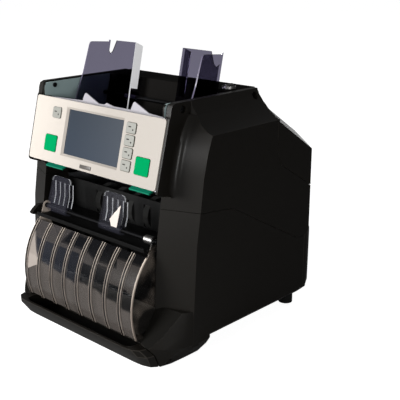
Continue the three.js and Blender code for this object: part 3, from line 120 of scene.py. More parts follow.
class Value:
    """An output of a shader node that takes part in plain arithmetic."""

    def __init__(self, nodes, output):
        self.nodes = nodes
        self.output = output

    def maths(self, operation, first, second=0.0):
        return self.nodes.node("ShaderNodeMath", {"operation": operation}, {0: first, 1: second})

    def __add__(self, other):
        return self.maths("ADD", self, other)

    def __radd__(self, other):
        return self.maths("ADD", other, self)

    def __sub__(self, other):
        return self.maths("SUBTRACT", self, other)

    def __rsub__(self, other):
        return self.maths("SUBTRACT", other, self)

    def __mul__(self, other):
        return self.maths("MULTIPLY", self, other)

    def __rmul__(self, other):
        return self.maths("MULTIPLY", other, self)

    def __truediv__(self, other):
        return self.maths("DIVIDE", self, other)

    def __pow__(self, other):
        return self.maths("POWER", self, other)

    def __gt__(self, other):
        return self.maths("GREATER_THAN", self, other)

    def __lt__(self, other):
        return self.maths("LESS_THAN", self, other)

    def __abs__(self):
        return self.maths("ABSOLUTE", self)

    def fraction(self):
        """What is left above the whole number below."""
        return self.maths("FRACT", self)

    def larger(self, other):
        """The larger of two values."""
        return self.maths("MAXIMUM", self, other)


class Nodes:
    """The node tree of a material or the world, and the one place where nodes are added to it."""

    def __init__(self, tree):
        self.tree = tree

    def node(self, kind, settings=None, values=None, output=0):
        """Adds a node with its settings and the values or links of its sockets."""
        made = self.tree.nodes.new(kind)
        for key, value in (settings or {}).items():
            setattr(made, key, value)
        for key, value in (values or {}).items():
            self.feed(made.inputs[key], value)
        return Value(self, made.outputs[output])

    def feed(self, socket, value):
        """Links a value to a socket, or writes a plain number or colour into it."""
        if isinstance(value, Value):
            self.tree.links.new(value.output, socket)
        else:
            socket.default_value = value

    def ray(self, kind):
        """1 for rays of one kind, and 0 for others."""
        return self.node("ShaderNodeLightPath", output=kind)

    def fade(self, value, start, end):
        """0 up to the start, 1 past the end, and even between them."""
        return self.node("ShaderNodeMapRange", {}, {"Value": value, "From Min": start, "From Max": end})

    def mix(self, factor, first, second):
        """One colour where the factor is 0, the other where it is 1."""
        return self.node("ShaderNodeMix", {"data_type": "RGBA"}, {0: factor, 6: first, 7: second}, 2)


class Finish(Nodes):
    """One material, built round its principled shader."""

    def __init__(self, name):
        self.material = bpy.data.materials.new(name)
        self.material.use_nodes = True
        super().__init__(self.material.node_tree)
        self.shader = self.tree.nodes["Principled BSDF"]

    def sockets(self, values):
        """Feeds the shader's sockets."""
        for key, value in values.items():
            self.feed(self.shader.inputs[key], value)
        return self

    def place(self):
        """Where a point lies on the machine."""
        return self.node("ShaderNodeTexCoord", output="Object")

    def axis(self, letter):
        """The place along X, Y or Z."""
        return self.node("ShaderNodeSeparateXYZ", {}, {"Vector": self.place()}, letter)

    def mapped(self, scale, location=(0.0, 0.0, 0.0)):
        """The place, stretched and shifted."""
        return self.node("ShaderNodeMapping", {}, {
            "Vector": self.place(), "Location": location, "Scale": scale})

    def noise(self, size, detail=2.0, stretch=None):
        """Soft noise with spots of about this size."""
        where = self.mapped(stretch) if stretch else self.place()
        return self.node("ShaderNodeTexNoise", {}, {
            "Vector": where, "Scale": 1.0 / size, "Detail": detail})

    def facing(self, blend):
        """Rises from 0 where a face looks at the eye to 1 where it is seen edge on."""
        return self.node("ShaderNodeLayerWeight", {}, {"Blend": blend}, "Facing")

    def bump(self, height, depth):
        """Raises the surface a little where the height is 1."""
        normal = self.node("ShaderNodeBump", {}, {"Height": height, "Distance": depth})
        return self.sockets({"Normal": normal})


# Finishes


def grained(name, colour, roughness, specular, size=0.7 * MM, coat=0.0):
    """Moulded plastic with a fine matt grain."""
    finish = Finish(name)
    grain = finish.noise(size, 3.0)
    cloud = finish.noise(50.0 * MM)
    finish.sockets({
        "Base Color": finish.mix(cloud * 0.5 + grain * 0.3, colour, shaded(colour, 1.25)),
        "Roughness": roughness - 0.06 + grain * 0.12,
        "Specular IOR Level": specular,
        "Coat Weight": coat,
        "Coat Roughness": 0.27,
    })
    return finish.bump(grain, 0.04 * MM)


def satin(name, colour, roughness, specular=0.4):
    """Smooth moulded plastic with a faint flow pattern."""
    finish = Finish(name)
    flow = finish.noise(12.0 * MM)
    finish.sockets({
        "Base Color": finish.mix(flow * 0.6, colour, shaded(colour, 0.93)),
        "Roughness": roughness - 0.04 + flow * 0.08,
        "Specular IOR Level": specular,
    })
    return finish.bump(finish.noise(0.4 * MM), 0.01 * MM)


# Panel: painted shade makes it go from pale to greyer between these places across the machine, a little
# unevenly
PALE_TO = -110.0 * MM
GREY_FROM = 30.0 * MM
PALE_WAVE = 20.0 * MM


def painted_shade_fade(name, colour, roughness, specular):
    """Satin plastic with painted shade, a little greyer towards the machine's right end."""
    finish = Finish(name)
    flow = finish.noise(12.0 * MM)
    turn = finish.fade(finish.axis("X") + flow * PALE_WAVE, PALE_TO, GREY_FROM)
    finish.sockets({
        "Base Color": finish.mix(turn, shaded(colour, 1.22), shaded(colour, 0.84)),
        "Roughness": roughness - 0.04 + flow * 0.08,
        "Specular IOR Level": specular,
    })
    return finish.bump(finish.noise(0.4 * MM), 0.01 * MM)


def frosted(name, colour, glow):
    """Satin face of a clear sheet, with a painted glow for the light that the sheet carries to it."""
    finish = satin(name, colour, roughness=0.5)
    return finish.sockets({"Emission Color": WHITE, "Emission Strength": glow})


# Display: the heights of its lower and upper edge, between which painted shade darkens it upwards
SCREEN_LOW = 221.0 * MM
SCREEN_HIGH = 278.0 * MM


def screen(name):
    """A dark glass screen with painted shade, a little darker towards the top."""
    finish = Finish(name)
    rise = finish.fade(finish.axis("Z"), SCREEN_LOW, SCREEN_HIGH)
    finish.sockets({
        "Base Color": finish.mix(rise, linear(28, 40, 54), linear(24, 35, 47)),
        "Roughness": 0.3,
        "Specular IOR Level": 0.2,
    })
    return finish.bump(finish.noise(20.0 * MM), 0.004 * MM)


def tinted(name, colour, density, edge_density, roughness=0.12, specular=0.7):
    """Clear or smoked sheet: denser where it is seen edge on."""
    finish = Finish(name)
    ripple = finish.noise(30.0 * MM)
    finish.sockets({
        "Base Color": finish.mix(ripple * 0.4, colour, shaded(colour, 0.8)),
        "Roughness": roughness + ripple * 0.03,
        "Alpha": density + finish.facing(0.35) * (edge_density - density),
        "Specular IOR Level": specular,
    })
    return finish.bump(ripple, 0.02 * MM)


def smoked(name, colour):
    """Dyed clear sheet, too thin to bend what is seen through it."""
    finish = Finish(name)
    ripple = finish.noise(30.0 * MM)
    finish.sockets({
        "Base Color": finish.mix(ripple * 0.4, colour, shaded(colour, 0.8)),
        "Roughness": 0.0,
        "Transmission Weight": 1.0,
        "IOR": 1.0,
    })
    return finish.bump(ripple, 0.02 * MM)


# Stacker cover, over its whole width: where painted light and shade make its glass light and where dark
GLASS_LIGHT = -80.0 * MM
GLASS_DARK = 60.0 * MM

# Patches of reflection: above the first share a patch is bright, below the second it is dark
PATCH_BRIGHT = 0.76
PATCH_DARK = 0.3

# Painted light low down, a lighter grey band: its top on the machine's middle line, the height in which
# it ends, its slant, and how ragged the waves and the patches make it
LOW_LIGHT_TOP = 90.0 * MM
LOW_LIGHT_END = 3.0 * MM
LOW_LIGHT_SLANT = 0.16
LOW_LIGHT_WAVE = 8.0 * MM
LOW_LIGHT_PATCH = 12.0 * MM

# Bright reflection in the first bay: its lower and upper side, as heights on the machine's middle
# line and slants
GLARE_LOW = 118.0 * MM
GLARE_LOW_SLANT = 0.5
GLARE_HIGH = -36.0 * MM
GLARE_HIGH_SLANT = 1.6

# How dense the shell is, what each of these adds to it, and how dense its painted highlight lines are
SHELL_DENSITY = 0.36
LOW_LIGHT_DENSITY = 0.16
RIB_DENSITY = 0.32
PATCH_DENSITY = 0.06
SIDE_DENSITY = 0.25
GLARE_DENSITY = 0.3
LINE_DENSITY = 0.88


def rib_masks(across):
    """Two masks of the cover: its ribs, and the painted highlight line along each edge of a rib."""
    turns = (across - (RIB_START - RIB_PITCH / 2.0)) / RIB_PITCH
    past_edge = abs(turns.fraction() - 0.5) * RIB_PITCH - RIB_LINE_OFF
    return past_edge < 0.0, abs(past_edge) < RIB_LINE_HALF


def rim_mask(across, depth, height):
    """The painted highlight on the rim round each cheek of the cover."""
    radius = ((depth - COVER_Y) ** 2.0 + (height - COVER_Z) ** 2.0) ** 0.5
    return (abs(across) > COVER_END) * (radius > COVER_RIM_RADIUS) * (height < COVER_CHEEK_TOP)


def ribbed(name):
    """Smoked cover shell with ribs; its highlights, reflections, shade and grey low down are painted."""
    finish = Finish(name)
    across = finish.axis("X")
    height = finish.axis("Z")
    rib, line = rib_masks(across)
    # Where the painted highlight lines lie: along the rib edges and round the cheeks.
    edge = line.larger(rim_mask(across, finish.axis("Y"), height))
    wave = finish.noise(22.0 * MM, 1.0, (1.0, 0.4, 0.4))
    streak = finish.noise(9.0 * MM, 2.0, (1.0, 0.12, 0.12))
    patches = finish.node("ShaderNodeTexVoronoi", {"distance": "CHEBYCHEV"}, {
        "Vector": finish.mapped((0.55, 0.5, 1.5), (13.0 * MM, 0.0, 4.0 * MM)), "Scale": 19.0}, "Color")
    shine = finish.node("ShaderNodeSeparateColor", {}, {"Color": patches}, "Red")

    # Painted light and shade: the glass lighter at the left and darker at the right, with painted patches
    # of reflection.
    slant = finish.fade(across, GLASS_LIGHT, GLASS_DARK)
    glass = finish.mix(slant, linear(38, 41, 50), linear(7, 8, 11))
    glass = finish.mix((shine > PATCH_BRIGHT) * 0.5, glass, linear(88, 82, 78))
    glass = finish.mix((shine < PATCH_DARK) * 0.7, glass, linear(5, 5, 7))
    # Painted light low down: below a ragged line the shell turns a lighter, streaky grey.
    ragged = height + wave * LOW_LIGHT_WAVE + shine * LOW_LIGHT_PATCH + across * LOW_LIGHT_SLANT
    low = finish.fade(ragged, LOW_LIGHT_TOP, LOW_LIGHT_TOP - LOW_LIGHT_END)
    low_light_colour = finish.mix(streak, linear(60, 56, 53), linear(92, 86, 82))
    shell = finish.mix(rib, finish.mix(low, glass, low_light_colour), linear(9, 8, 8))

    above = (height - across * GLARE_LOW_SLANT) > GLARE_LOW
    below = (height + across * GLARE_HIGH_SLANT) < GLARE_HIGH
    glare = (across < COVER_FIRST_BAY) * above * below
    shell = finish.mix(glare * (1.0 - rib), shell, linear(150, 141, 134))
    # Painted reflection on the cover's cheeks, in soft uneven patches.
    cheek_reflection = finish.fade(finish.noise(30.0 * MM, 1.0), 0.54, 0.7)
    cheek = finish.mix(cheek_reflection, linear(13, 12, 12), linear(110, 101, 93))
    shell = finish.mix(abs(across) > COVER_END, shell, cheek)

    # Painted highlight lines, brighter higher up.
    rise = finish.fade(height, 70.0 * MM, 130.0 * MM)
    bright = finish.mix(rise * 0.7 + streak * 0.3, linear(96, 86, 79), linear(214, 200, 186))
    density = SHELL_DENSITY + low * LOW_LIGHT_DENSITY + rib * RIB_DENSITY + shine * PATCH_DENSITY
    density = density + finish.facing(0.3) * SIDE_DENSITY + glare * GLARE_DENSITY
    finish.sockets({
        "Base Color": finish.mix(edge, shell, bright),
        "Roughness": 0.13 + wave * 0.04,
        "Alpha": density.larger(edge * LINE_DENSITY),
        "Specular IOR Level": 0.35,
    })
    return finish.bump(wave, 0.02 * MM)


# Right stopper: where the reflection's left side and foot start, their slants, and its right side
GLINT_LEFT = 18.1 * MM
GLINT_LEFT_SLANT = 0.8
GLINT_FOOT = 34.5 * MM
GLINT_FOOT_SLANT = 0.76
GLINT_RIGHT = 40.5 * MM
GLINT_WAVE = 2.0 * MM


def glinting(name):
    """Clear sheet with the reflection of a bright wall low on its right half."""
    finish = Finish(name)
    across = finish.axis("X")
    rise = finish.axis("Z") - ROD.z
    ripple = finish.noise(10.0 * MM)
    wavy = across + ripple * GLINT_WAVE
    left = (wavy - rise * GLINT_LEFT_SLANT) > GLINT_LEFT
    foot = (wavy + rise * GLINT_FOOT_SLANT) > GLINT_FOOT
    patch = left * foot * (across < GLINT_RIGHT)
    finish.sockets({
        "Base Color": finish.mix(patch, linear(58, 58, 68), linear(206, 196, 188)),
        "Roughness": 0.22 + ripple * 0.05,
        "Alpha": 0.12 + patch * 0.78,
        "Specular IOR Level": 0.2,
    })
    return finish.bump(ripple, 0.02 * MM)


def metal(name, colour, roughness, stretch):
    """Steel with fine brushed lines, drawn out by the stretch."""
    finish = Finish(name)
    lines = finish.noise(1.2 * MM, 2.0, stretch)
    finish.sockets({
        "Base Color": finish.mix(lines, colour, shaded(colour, 0.8)),
        "Metallic": 1.0,
        "Roughness": roughness + lines * 0.12,
    })
    return finish.bump(lines, 0.01 * MM)


def rubber(name, colour):
    """Matt rubber with paper dust on it."""
    finish = Finish(name)
    dust = finish.noise(4.0 * MM, 4.0)
    finish.sockets({
        "Base Color": finish.mix(dust * 0.5, colour, shaded(colour, 1.8)),
        "Roughness": 0.78 + dust * 0.15,
        "Specular IOR Level": 0.25,
    })
    return finish.bump(finish.noise(0.8 * MM), 0.03 * MM)


def circuit(name):
    """Green circuit board with paler tracks and pads."""
    finish = Finish(name)
    cells = finish.node("ShaderNodeTexVoronoi", {"distance": "MANHATTAN"}, {
        "Vector": finish.place(), "Scale": 180.0})
    tracks = cells > 0.55
    finish.sockets({
        "Base Color": finish.mix(tracks, linear(24, 84, 52), linear(52, 120, 76)),
        "Roughness": 0.45 + tracks * 0.1,
    })
    return finish.bump(tracks, 0.03 * MM)


def chosen(group, name="colour"):
    """A colour that the user can change."""
    return tuple(getattr(getattr(bpy.context.scene, group), name)) + (1.0,)


# Stretches that draw brushed lines out along the machine's width, round it, or not at all
ALONG_X = (0.05, 1.0, 1.0)
ROUND_X = (1.0, 0.05, 0.05)
EVENLY = (1.0, 1.0, 1.0)

MAKERS = {
    "casing": lambda: grained("casing_grain", chosen("counter_casing"), 0.52, 0.08, coat=0.2),
    # Lighter casing for the rounded edges: painted highlight along them.
    "casing_edge_highlight": lambda: grained("casing_painted_edge_highlight", linear(46, 43, 39), 0.4, 0.1),
    "casing_matt": lambda: grained("casing_matt_grain", linear(17, 16, 15), 0.7, 0.01),
    # Darker casing for the toe slopes: painted shade.
    "casing_toe_shade": lambda: grained("casing_toe_painted_shade", linear(13, 12, 10), 0.6, 0.02),
    "casing_satin": lambda: grained("casing_fine_grain", linear(11, 11, 11), 0.52, 0.08, size=0.5 * MM),
    "dark_plastic": lambda: satin("dark_plastic_satin", linear(9, 9, 9), 0.5, 0.15),
    # The panel is greyer towards the right: painted shade.
    "panel_white": lambda: painted_shade_fade("panel_warm_white", chosen("counter_panel"), 0.42, 0.15),
    "hopper_grey": lambda: satin("hopper_grey_satin", linear(160, 180, 180), 0.5, 0.2),
    "fin_white": lambda: satin("fin_white_satin", linear(148, 145, 151), 0.45),
    "screen_glass": lambda: screen("screen_slate_glass"),
    "key_grey": lambda: satin("key_grey_satin", linear(126, 126, 119), 0.5),
    "key_green": lambda: satin("key_green_satin", chosen("counter_panel", "key_colour"), 0.5, 0.0),
    "key_rim": lambda: satin("key_rim_grey", linear(82, 80, 72), 0.5, 0.1),
    "key_mark": lambda: satin("key_mark_dark", linear(40, 39, 36), 0.5, 0.05),
    "badge": lambda: satin("badge_dark_satin", linear(78, 74, 70), 0.35, 0.2),
    "lever_green": lambda: satin("lever_teal_satin", linear(10, 112, 86), 0.4, 0.2),
    "floor_grey": lambda: satin("stacker_floor_grey", linear(128, 124, 118), 0.5),
    "smoke": lambda: smoked("guide_smoke_sheet", chosen("counter_clear")),
    "guide_edge": lambda: tinted("guide_bright_edge", linear(92, 86, 108), 0.85, 0.97),
    # The left guide's inner flange glows a little: painted light.
    "frost": lambda: frosted("guide_flange_painted_glow", linear(205, 205, 208), 0.35),
    "cover_smoke": lambda: ribbed("cover_smoke_shell"),
    # Pale rib sides on the smoked cover: painted highlight.
    "smoke_edge_highlight": lambda: tinted("cover_rib_painted_highlight", linear(170, 160, 152), 0.72, 0.95),
    "clear": lambda: tinted("stopper_clear_sheet", linear(58, 58, 68), 0.12, 0.42, 0.2, 0.2),
    "clear_glint": lambda: glinting("stopper_reflection"),
    # Pale edges on the clear stoppers: painted highlight.
    "clear_edge_highlight": lambda: tinted("stopper_painted_edge_highlight", linear(214, 216, 220), 0.7, 0.95),
    "steel": lambda: metal("steel_plate_brushed", linear(176, 178, 182), 0.3, ALONG_X),
    "dark_steel": lambda: metal("rod_blackened", linear(20, 20, 21), 0.5, ALONG_X),
    "bush_steel": lambda: metal("bush_bright", linear(150, 148, 146), 0.34, ALONG_X),
    "shaft_steel": lambda: metal("shaft_steel_turned", linear(205, 205, 206), 0.2, ROUND_X),
    "screw": lambda: metal("screw_black_zinc", linear(60, 60, 62), 0.3, EVENLY),
    "rubber": lambda: rubber("roller_rubber", linear(15, 15, 14)),
    "board": lambda: circuit("circuit_board"),
}
MADE = {}


def material(finish):
    """The material of a finish, made when it is first asked for."""
    if finish not in MADE:
        MADE[finish] = MAKERS[finish]().material
    return MADE[finish]


# Face tests, which say where a piece has a second finish

# A face looks along an axis when this much of its normal lies on it
ALONG_AXIS = 0.9

# Toe: its slopes, painted darker as shade, lie this far out and below this height, look forwards and up at
# least by these shares, and outwards at most by the last
TOE_INNER = 80.0 * MM
TOE_TOP = 75.0 * MM
TOE_FORWARDS = 0.35
TOE_UP = 0.15
TOE_OUTWARDS = 0.12

# The front edge of a hopper wall looks forwards by this share; it is painted dark as shade
WALL_FORWARDS = 0.5

# The knob's round side looks up by less than this share, and shows from just above the top deck
KNOB_UP = 0.3
KNOB_RIM_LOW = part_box("top_deck")[1][2] + 0.3 * MM

# Bent sheets are thinner than this
SHEET_EDGE = 2.6 * MM

# Left guide: where the faces of its inner flange lie
FLANGE_FROM = -44.5 * MM
FLANGE_TO = -40.0 * MM
FLANGE_LOW = 285.0 * MM

# Stoppers: the radius of the barrel round the rod, and the area that a broad face has at least
BARREL_RADIUS = 7.5 * MM
BROAD_AREA = 100.0 * MM * MM

# Rod: where its bush lies, and the radius that only its round side reaches
BUSH_FROM = 85.0 * MM
BUSH_TO = 100.0 * MM
BUSH_INNER = 2.0 * MM

# Stacker cover: its ribs lie within this distance of the middle
RIBS_HALF = 100.0 * MM


def narrow_span(polygon):
    """The width of a face across its longest edge, or its length where that is less."""
    mesh = polygon.id_data
    points = [mesh.vertices[index].co for index in polygon.vertices]
    edges = [point - before for before, point in zip(points[-1:] + points[:-1], points)]
    along = max(edges, key=lambda edge: edge.length).normalized()
    across = polygon.normal.cross(along).normalized()
    spans = []
    for way in (along, across):
        reach = [point.dot(way) for point in points]
        spans.append(max(reach) - min(reach))
    return min(spans)


def off_rod(polygon):
    """How far a face's middle lies from the rod's axis."""
    return math.hypot(polygon.center.y - ROD.y, polygon.center.z - ROD.z)


def sheet_edge(polygon):
    """True for the narrow faces round a bent sheet."""
    return narrow_span(polygon) < SHEET_EDGE


def toe_slope(polygon):
    """True for the toe faces that slope forwards and towards the middle, which get painted shade."""
    centre = polygon.center
    outward = polygon.normal.x * math.copysign(1.0, centre.x)
    slopes = polygon.normal.y < -TOE_FORWARDS and polygon.normal.z > TOE_UP and outward < TOE_OUTWARDS
    return slopes and abs(centre.x) > TOE_INNER and centre.z < TOE_TOP


def wall_front(polygon):
    """True for the front edge of a hopper wall, which is painted dark as shade."""
    return polygon.normal.y < -WALL_FORWARDS


def knob_rim(polygon):
    """True for the knob's round side above the deck."""
    return abs(polygon.normal.z) < KNOB_UP and polygon.center.z > KNOB_RIM_LOW


def inner_flange(polygon):
    """True for the frosted faces of the left guide's inner flange, which get a painted glow."""
    centre = polygon.center
    inside = FLANGE_FROM < centre.x < FLANGE_TO and centre.z > FLANGE_LOW
    return inside and abs(polygon.normal.x) > ALONG_AXIS


def web_front(polygon):
    """True for the broad front face of the right stopper."""
    return polygon.normal.y < -ALONG_AXIS and polygon.center.x > 0.0 and polygon.area > BROAD_AREA


def web_edge(polygon):
    """True for the narrow faces of a stopper away from its barrel, which get a painted highlight."""
    return sheet_edge(polygon) and off_rod(polygon) > BARREL_RADIUS


def bush(polygon):
    """True for the round side of the bush at the rod's right end."""
    return BUSH_FROM < polygon.center.x < BUSH_TO and off_rod(polygon) > BUSH_INNER


def rib_side(polygon):
    """True for the upright faces of the ribs, which get a painted highlight."""
    return abs(polygon.normal.x) > ALONG_AXIS and abs(polygon.center.x) < RIBS_HALF


# Mesh helpers

# A CAD node's mesh is merged within this distance, and faces this flat are made one
MERGE_REACH = 0.01 * MM
FLAT_ANGLE = math.radians(0.4)

# Edges sharper than these are rounded, on a skin and on a new piece
SKIN_BEVEL_ANGLE = math.radians(25.0)
PIECE_BEVEL_ANGLE = math.radians(30.0)

# Edges flatter than these are shaded smooth, on a skin and on a new piece
SKIN_SMOOTH_ANGLE = math.radians(34.0)
PIECE_SMOOTH_ANGLE = math.radians(35.0)


def only(piece):
    """Selects one piece and nothing else."""
    bpy.ops.object.select_all(action="DESELECT")
    bpy.context.view_layer.objects.active = piece
    piece.select_set(True)


def edit(piece):
    """Opens one piece in edit mode."""
    only(piece)
    bpy.ops.object.mode_set(mode="EDIT")


def leave():
    """Goes back to object mode."""
    bpy.ops.object.mode_set(mode="OBJECT")


def started(add, size, centre):
    """A unit plane or cube brought to its size and place."""
    bpy.ops.object.select_all(action="DESELECT")
    add(size=1.0, location=centre)
    piece = bpy.context.object
    piece.scale = size
    bpy.ops.object.transform_apply(location=True, rotation=True, scale=True)
    return piece


def rounded(piece, name, width, segments, angle=PIECE_BEVEL_ANGLE):
    """Adds the modifier that rounds a piece's sharp edges."""
    bevel = piece.modifiers.new(name, "BEVEL")
    bevel.width = width
    bevel.segments = segments
    bevel.limit_method = "ANGLE"
    bevel.angle_limit = angle
    return bevel


def thickened(piece, name, thickness):
    """Adds the modifier that gives a flat piece its thickness, half to each side."""
    solid = piece.modifiers.new(name, "SOLIDIFY")
    solid.thickness = thickness
    solid.offset = 0.0


def apply_all(piece):
    """Applies every modifier of a piece, in order."""
    only(piece)
    for modifier in list(piece.modifiers):
        bpy.ops.object.modifier_apply(modifier=modifier.name)


def duplicate(piece):
    """A copy of a piece with a mesh of its own."""
    copy = piece.copy()
    copy.data = piece.data.copy()
    bpy.context.scene.collection.objects.link(copy)
    return copy


def settle(piece, name, body, finish, place=Matrix.Identity(4)):
    """Puts a finished piece's place into its mesh and hangs it on its body."""
    piece.name = name
    piece.data.name = name
    piece.matrix_world = place @ piece.matrix_world
    only(piece)
    bpy.ops.object.transform_apply(location=True, rotation=True, scale=True)
    bpy.ops.object.shade_smooth_by_angle(angle=PIECE_SMOOTH_ANGLE)
    piece.data.materials.append(material(finish))
    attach(piece, body)


def body_of_node(node):
    """The moving body, or the base, that carries a CAD node."""
    for body, nodes in BODIES.items():
        if node in nodes:
            return body
    raise RuntimeError(f"{node} is on no body")


def skin(node, width, finish=None, segments=2, accents=()):
    """A softened copy of a CAD node, shown in its place; each accent is a face test and its finish."""
    main_finish = finish or SLOT_OF[node]
    mesh = NODES[node].data.copy()
    mesh.materials.clear()
    mesh.materials.append(material(main_finish))
    piece = bpy.data.objects.new(f"{node}_skin", mesh)
    bpy.context.scene.collection.objects.link(piece)
    edit(piece)
    bpy.ops.mesh.select_all(action="SELECT")
    bpy.ops.mesh.remove_doubles(threshold=MERGE_REACH)
    bpy.ops.mesh.dissolve_limited(angle_limit=FLAT_ANGLE)
    leave()
    for index, (holds, accent) in enumerate(accents, 1):
        mesh.materials.append(material(accent))
        for polygon in mesh.polygons:
            if holds(polygon):
                polygon.material_index = index
    bevel = rounded(piece, "rounded_edges", width, segments, SKIN_BEVEL_ANGLE)
    # Rounded casing edges get a lighter finish: painted highlight along them.
    if main_finish == "casing":
        mesh.materials.append(material("casing_edge_highlight"))
        bevel.material = len(mesh.materials) - 1
    apply_all(piece)
    bpy.ops.object.shade_smooth_by_angle(angle=SKIN_SMOOTH_ANGLE)
    weights = piece.modifiers.new("flat_faces", "WEIGHTED_NORMAL")
    weights.mode = "FACE_AREA"
    weights.weight = 70
    weights.keep_sharp = True
    apply_all(piece)
    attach(piece, body_of_node(node))
    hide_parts(node)


# Properties


class CasingSettings(bpy.types.PropertyGroup):
    colour: FloatVectorProperty(name="Casing colour", description="Colour of the dark grained covers",
                                subtype="COLOR", size=3, default=linear(16, 14, 11)[:3])
    edge: FloatProperty(name="Edge rounding", description="Rounding of the cover edges",
                        subtype="DISTANCE", unit="LENGTH", default=0.9 * MM)


class PanelSettings(bpy.types.PropertyGroup):
    colour: FloatVectorProperty(name="Panel colour", description="Colour of the control panel bezel",
                                subtype="COLOR", size=3, default=linear(173, 166, 158)[:3])
    key_colour: FloatVectorProperty(name="Start key colour", description="Colour of the two start keys",
                                    subtype="COLOR", size=3, default=linear(2, 134, 78)[:3])
    rim: FloatProperty(name="Key rim", description="Width of the rim round each small key",
                       subtype="DISTANCE", unit="LENGTH", default=0.7 * MM)


class ClearSettings(bpy.types.PropertyGroup):
    colour: FloatVectorProperty(name="Smoke colour", description="Tint of the two note guides",
                                subtype="COLOR", size=3, default=linear(106, 103, 120)[:3])
    edge: FloatProperty(name="Sheet edge rounding", description="Rounding of the clear sheets' edges",
                        subtype="DISTANCE", unit="LENGTH", default=0.2 * MM)


class FastenerSettings(bpy.types.PropertyGroup):
    radius: FloatProperty(name="Screw head radius", description="Radius of the cover screws' heads",
                          subtype="DISTANCE", unit="LENGTH", default=3.0 * MM)


class StageSettings(bpy.types.PropertyGroup):
    lens: FloatProperty(name="Lens", description="Focal length on a 36 mm sensor",
                        subtype="DISTANCE_CAMERA", default=72.53)
    key_power: FloatProperty(name="Main light", description="Power of the main light",
                             subtype="POWER", default=76.0)


GROUPS = {
    "counter_casing": CasingSettings,
    "counter_panel": PanelSettings,
    "counter_clear": ClearSettings,
    "counter_fasteners": FastenerSettings,
    "counter_stage": StageSettings,
}


# Operators


class COUNTER_OT_stage(bpy.types.Operator):
    """Adds the floor, the lights and the camera"""
    bl_idname = "counter.stage"
    bl_label = "Stage"

    floor_size = 80.0
    floor_grey = (0.42, 0.42, 0.42, 1.0)
    floor_glow = 0.95

    # How bright the white surroundings light the object, and show in what it reflects
    world_light = 0.11
    world_gloss = 0.12

    # Each light's name, place, target, size and share of the main light's power
    lights = (
        ("main_softbox", (-1.0, -2.0, 0.75), (0.0, -0.05, 0.17), 0.8, 1.0),
        ("top_softbox", (-0.3, 0.1, 1.6), (0.0, 0.0, 0.2), 1.0, 0.008),
        ("rear_softbox", (-0.5, 2.0, 0.3), (0.0, 0.0, 0.16), 0.6, 0.05),
        ("front_strip", (0.55, -1.9, 0.75), (0.05, -0.08, 0.15), 0.25, 0.12),
        ("right_strip", (1.55, -0.95, 0.4), (0.1, -0.05, 0.2), 0.25, 0.115),
    )

    # Camera, fitted to the photograph: its place from the columns' foot, and the way it looks
    camera_place = (0.7228, -0.6034, 0.4632)
    camera_ahead = (-0.65079, 0.69788, -0.29904)
    camera_right = (0.73135, 0.68200, 0.0)
    sensor_width = 36.0
    nearest = 10.0 * MM

    def execute(self, context):
        self.floor()
        self.world(context.scene)
        power = context.scene.counter_stage.key_power
        for name, place, target, size, share in self.lights:
            self.light(name, place, target, size, power * share)
        self.camera(context.scene)
        context.scene.view_settings.view_transform = "Standard"
        return {"FINISHED"}

    def floor(self):
        """A pale floor that keeps the object's shadow and shows white to the camera."""
        bpy.ops.object.select_all(action="DESELECT")
        bpy.ops.mesh.primitive_plane_add(size=self.floor_size, location=(0.0, 0.0, 0.0))
        floor = bpy.context.object
        floor.name = "floor"
        finish = Finish("floor_pale")
        finish.sockets({"Base Color": self.floor_grey, "Roughness": 0.9, "Specular IOR Level": 0.0})
        shown = finish.ray("Is Camera Ray").larger(finish.ray("Is Transmission Ray"))
        glow = finish.node("ShaderNodeEmission", {}, {"Color": WHITE, "Strength": shown * self.floor_glow})
        matt = Value(finish, finish.shader.outputs[0])
        both = finish.node("ShaderNodeAddShader", {}, {0: matt, 1: glow})
        finish.feed(finish.tree.nodes["Material Output"].inputs["Surface"], both)
        floor.data.materials.append(finish.material)

    def world(self, scene):
        """White where it is seen, and a low, even light on the object."""
        world = bpy.data.worlds.new("studio")
        scene.world = world
        world.use_nodes = True
        nodes = Nodes(world.node_tree)
        seen = nodes.ray("Is Camera Ray").larger(nodes.ray("Is Transmission Ray"))
        shown = seen.larger(nodes.ray("Is Glossy Ray") * self.world_gloss)
        level = nodes.node("ShaderNodeMapRange", {}, {
            "Value": shown, "To Min": self.world_light, "To Max": 1.0})
        background = nodes.tree.nodes["Background"]
        nodes.feed(background.inputs["Strength"], level)
        nodes.feed(background.inputs["Color"], WHITE)

    def light(self, name, place, target, size, power):
        """A square softbox aimed at its target."""
        data = bpy.data.lights.new(name, "AREA")
        data.shape = "SQUARE"
        data.size = size
        data.energy = power
        lamp = bpy.data.objects.new(name, data)
        bpy.context.scene.collection.objects.link(lamp)
        lamp.location = place
        aim = Vector(target) - Vector(place)
        lamp.rotation_euler = aim.to_track_quat("-Z", "Y").to_euler()

    def camera(self, scene):
        """The camera of the photograph."""
        data = bpy.data.cameras.new("camera")
        data.lens = scene.counter_stage.lens
        data.sensor_width = self.sensor_width
        data.clip_start = self.nearest
        camera = bpy.data.objects.new("camera", data)
        scene.collection.objects.link(camera)
        ahead = Vector(self.camera_ahead).normalized()
        right = Vector(self.camera_right).normalized()
        turn = Matrix((right, right.cross(ahead), -ahead)).transposed().to_4x4()
        place = Vector(self.camera_place) + Vector((0.0, COLUMN_FOOT_Y, 0.0))
        camera.matrix_world = Matrix.Translation(place) @ turn
        scene.camera = camera


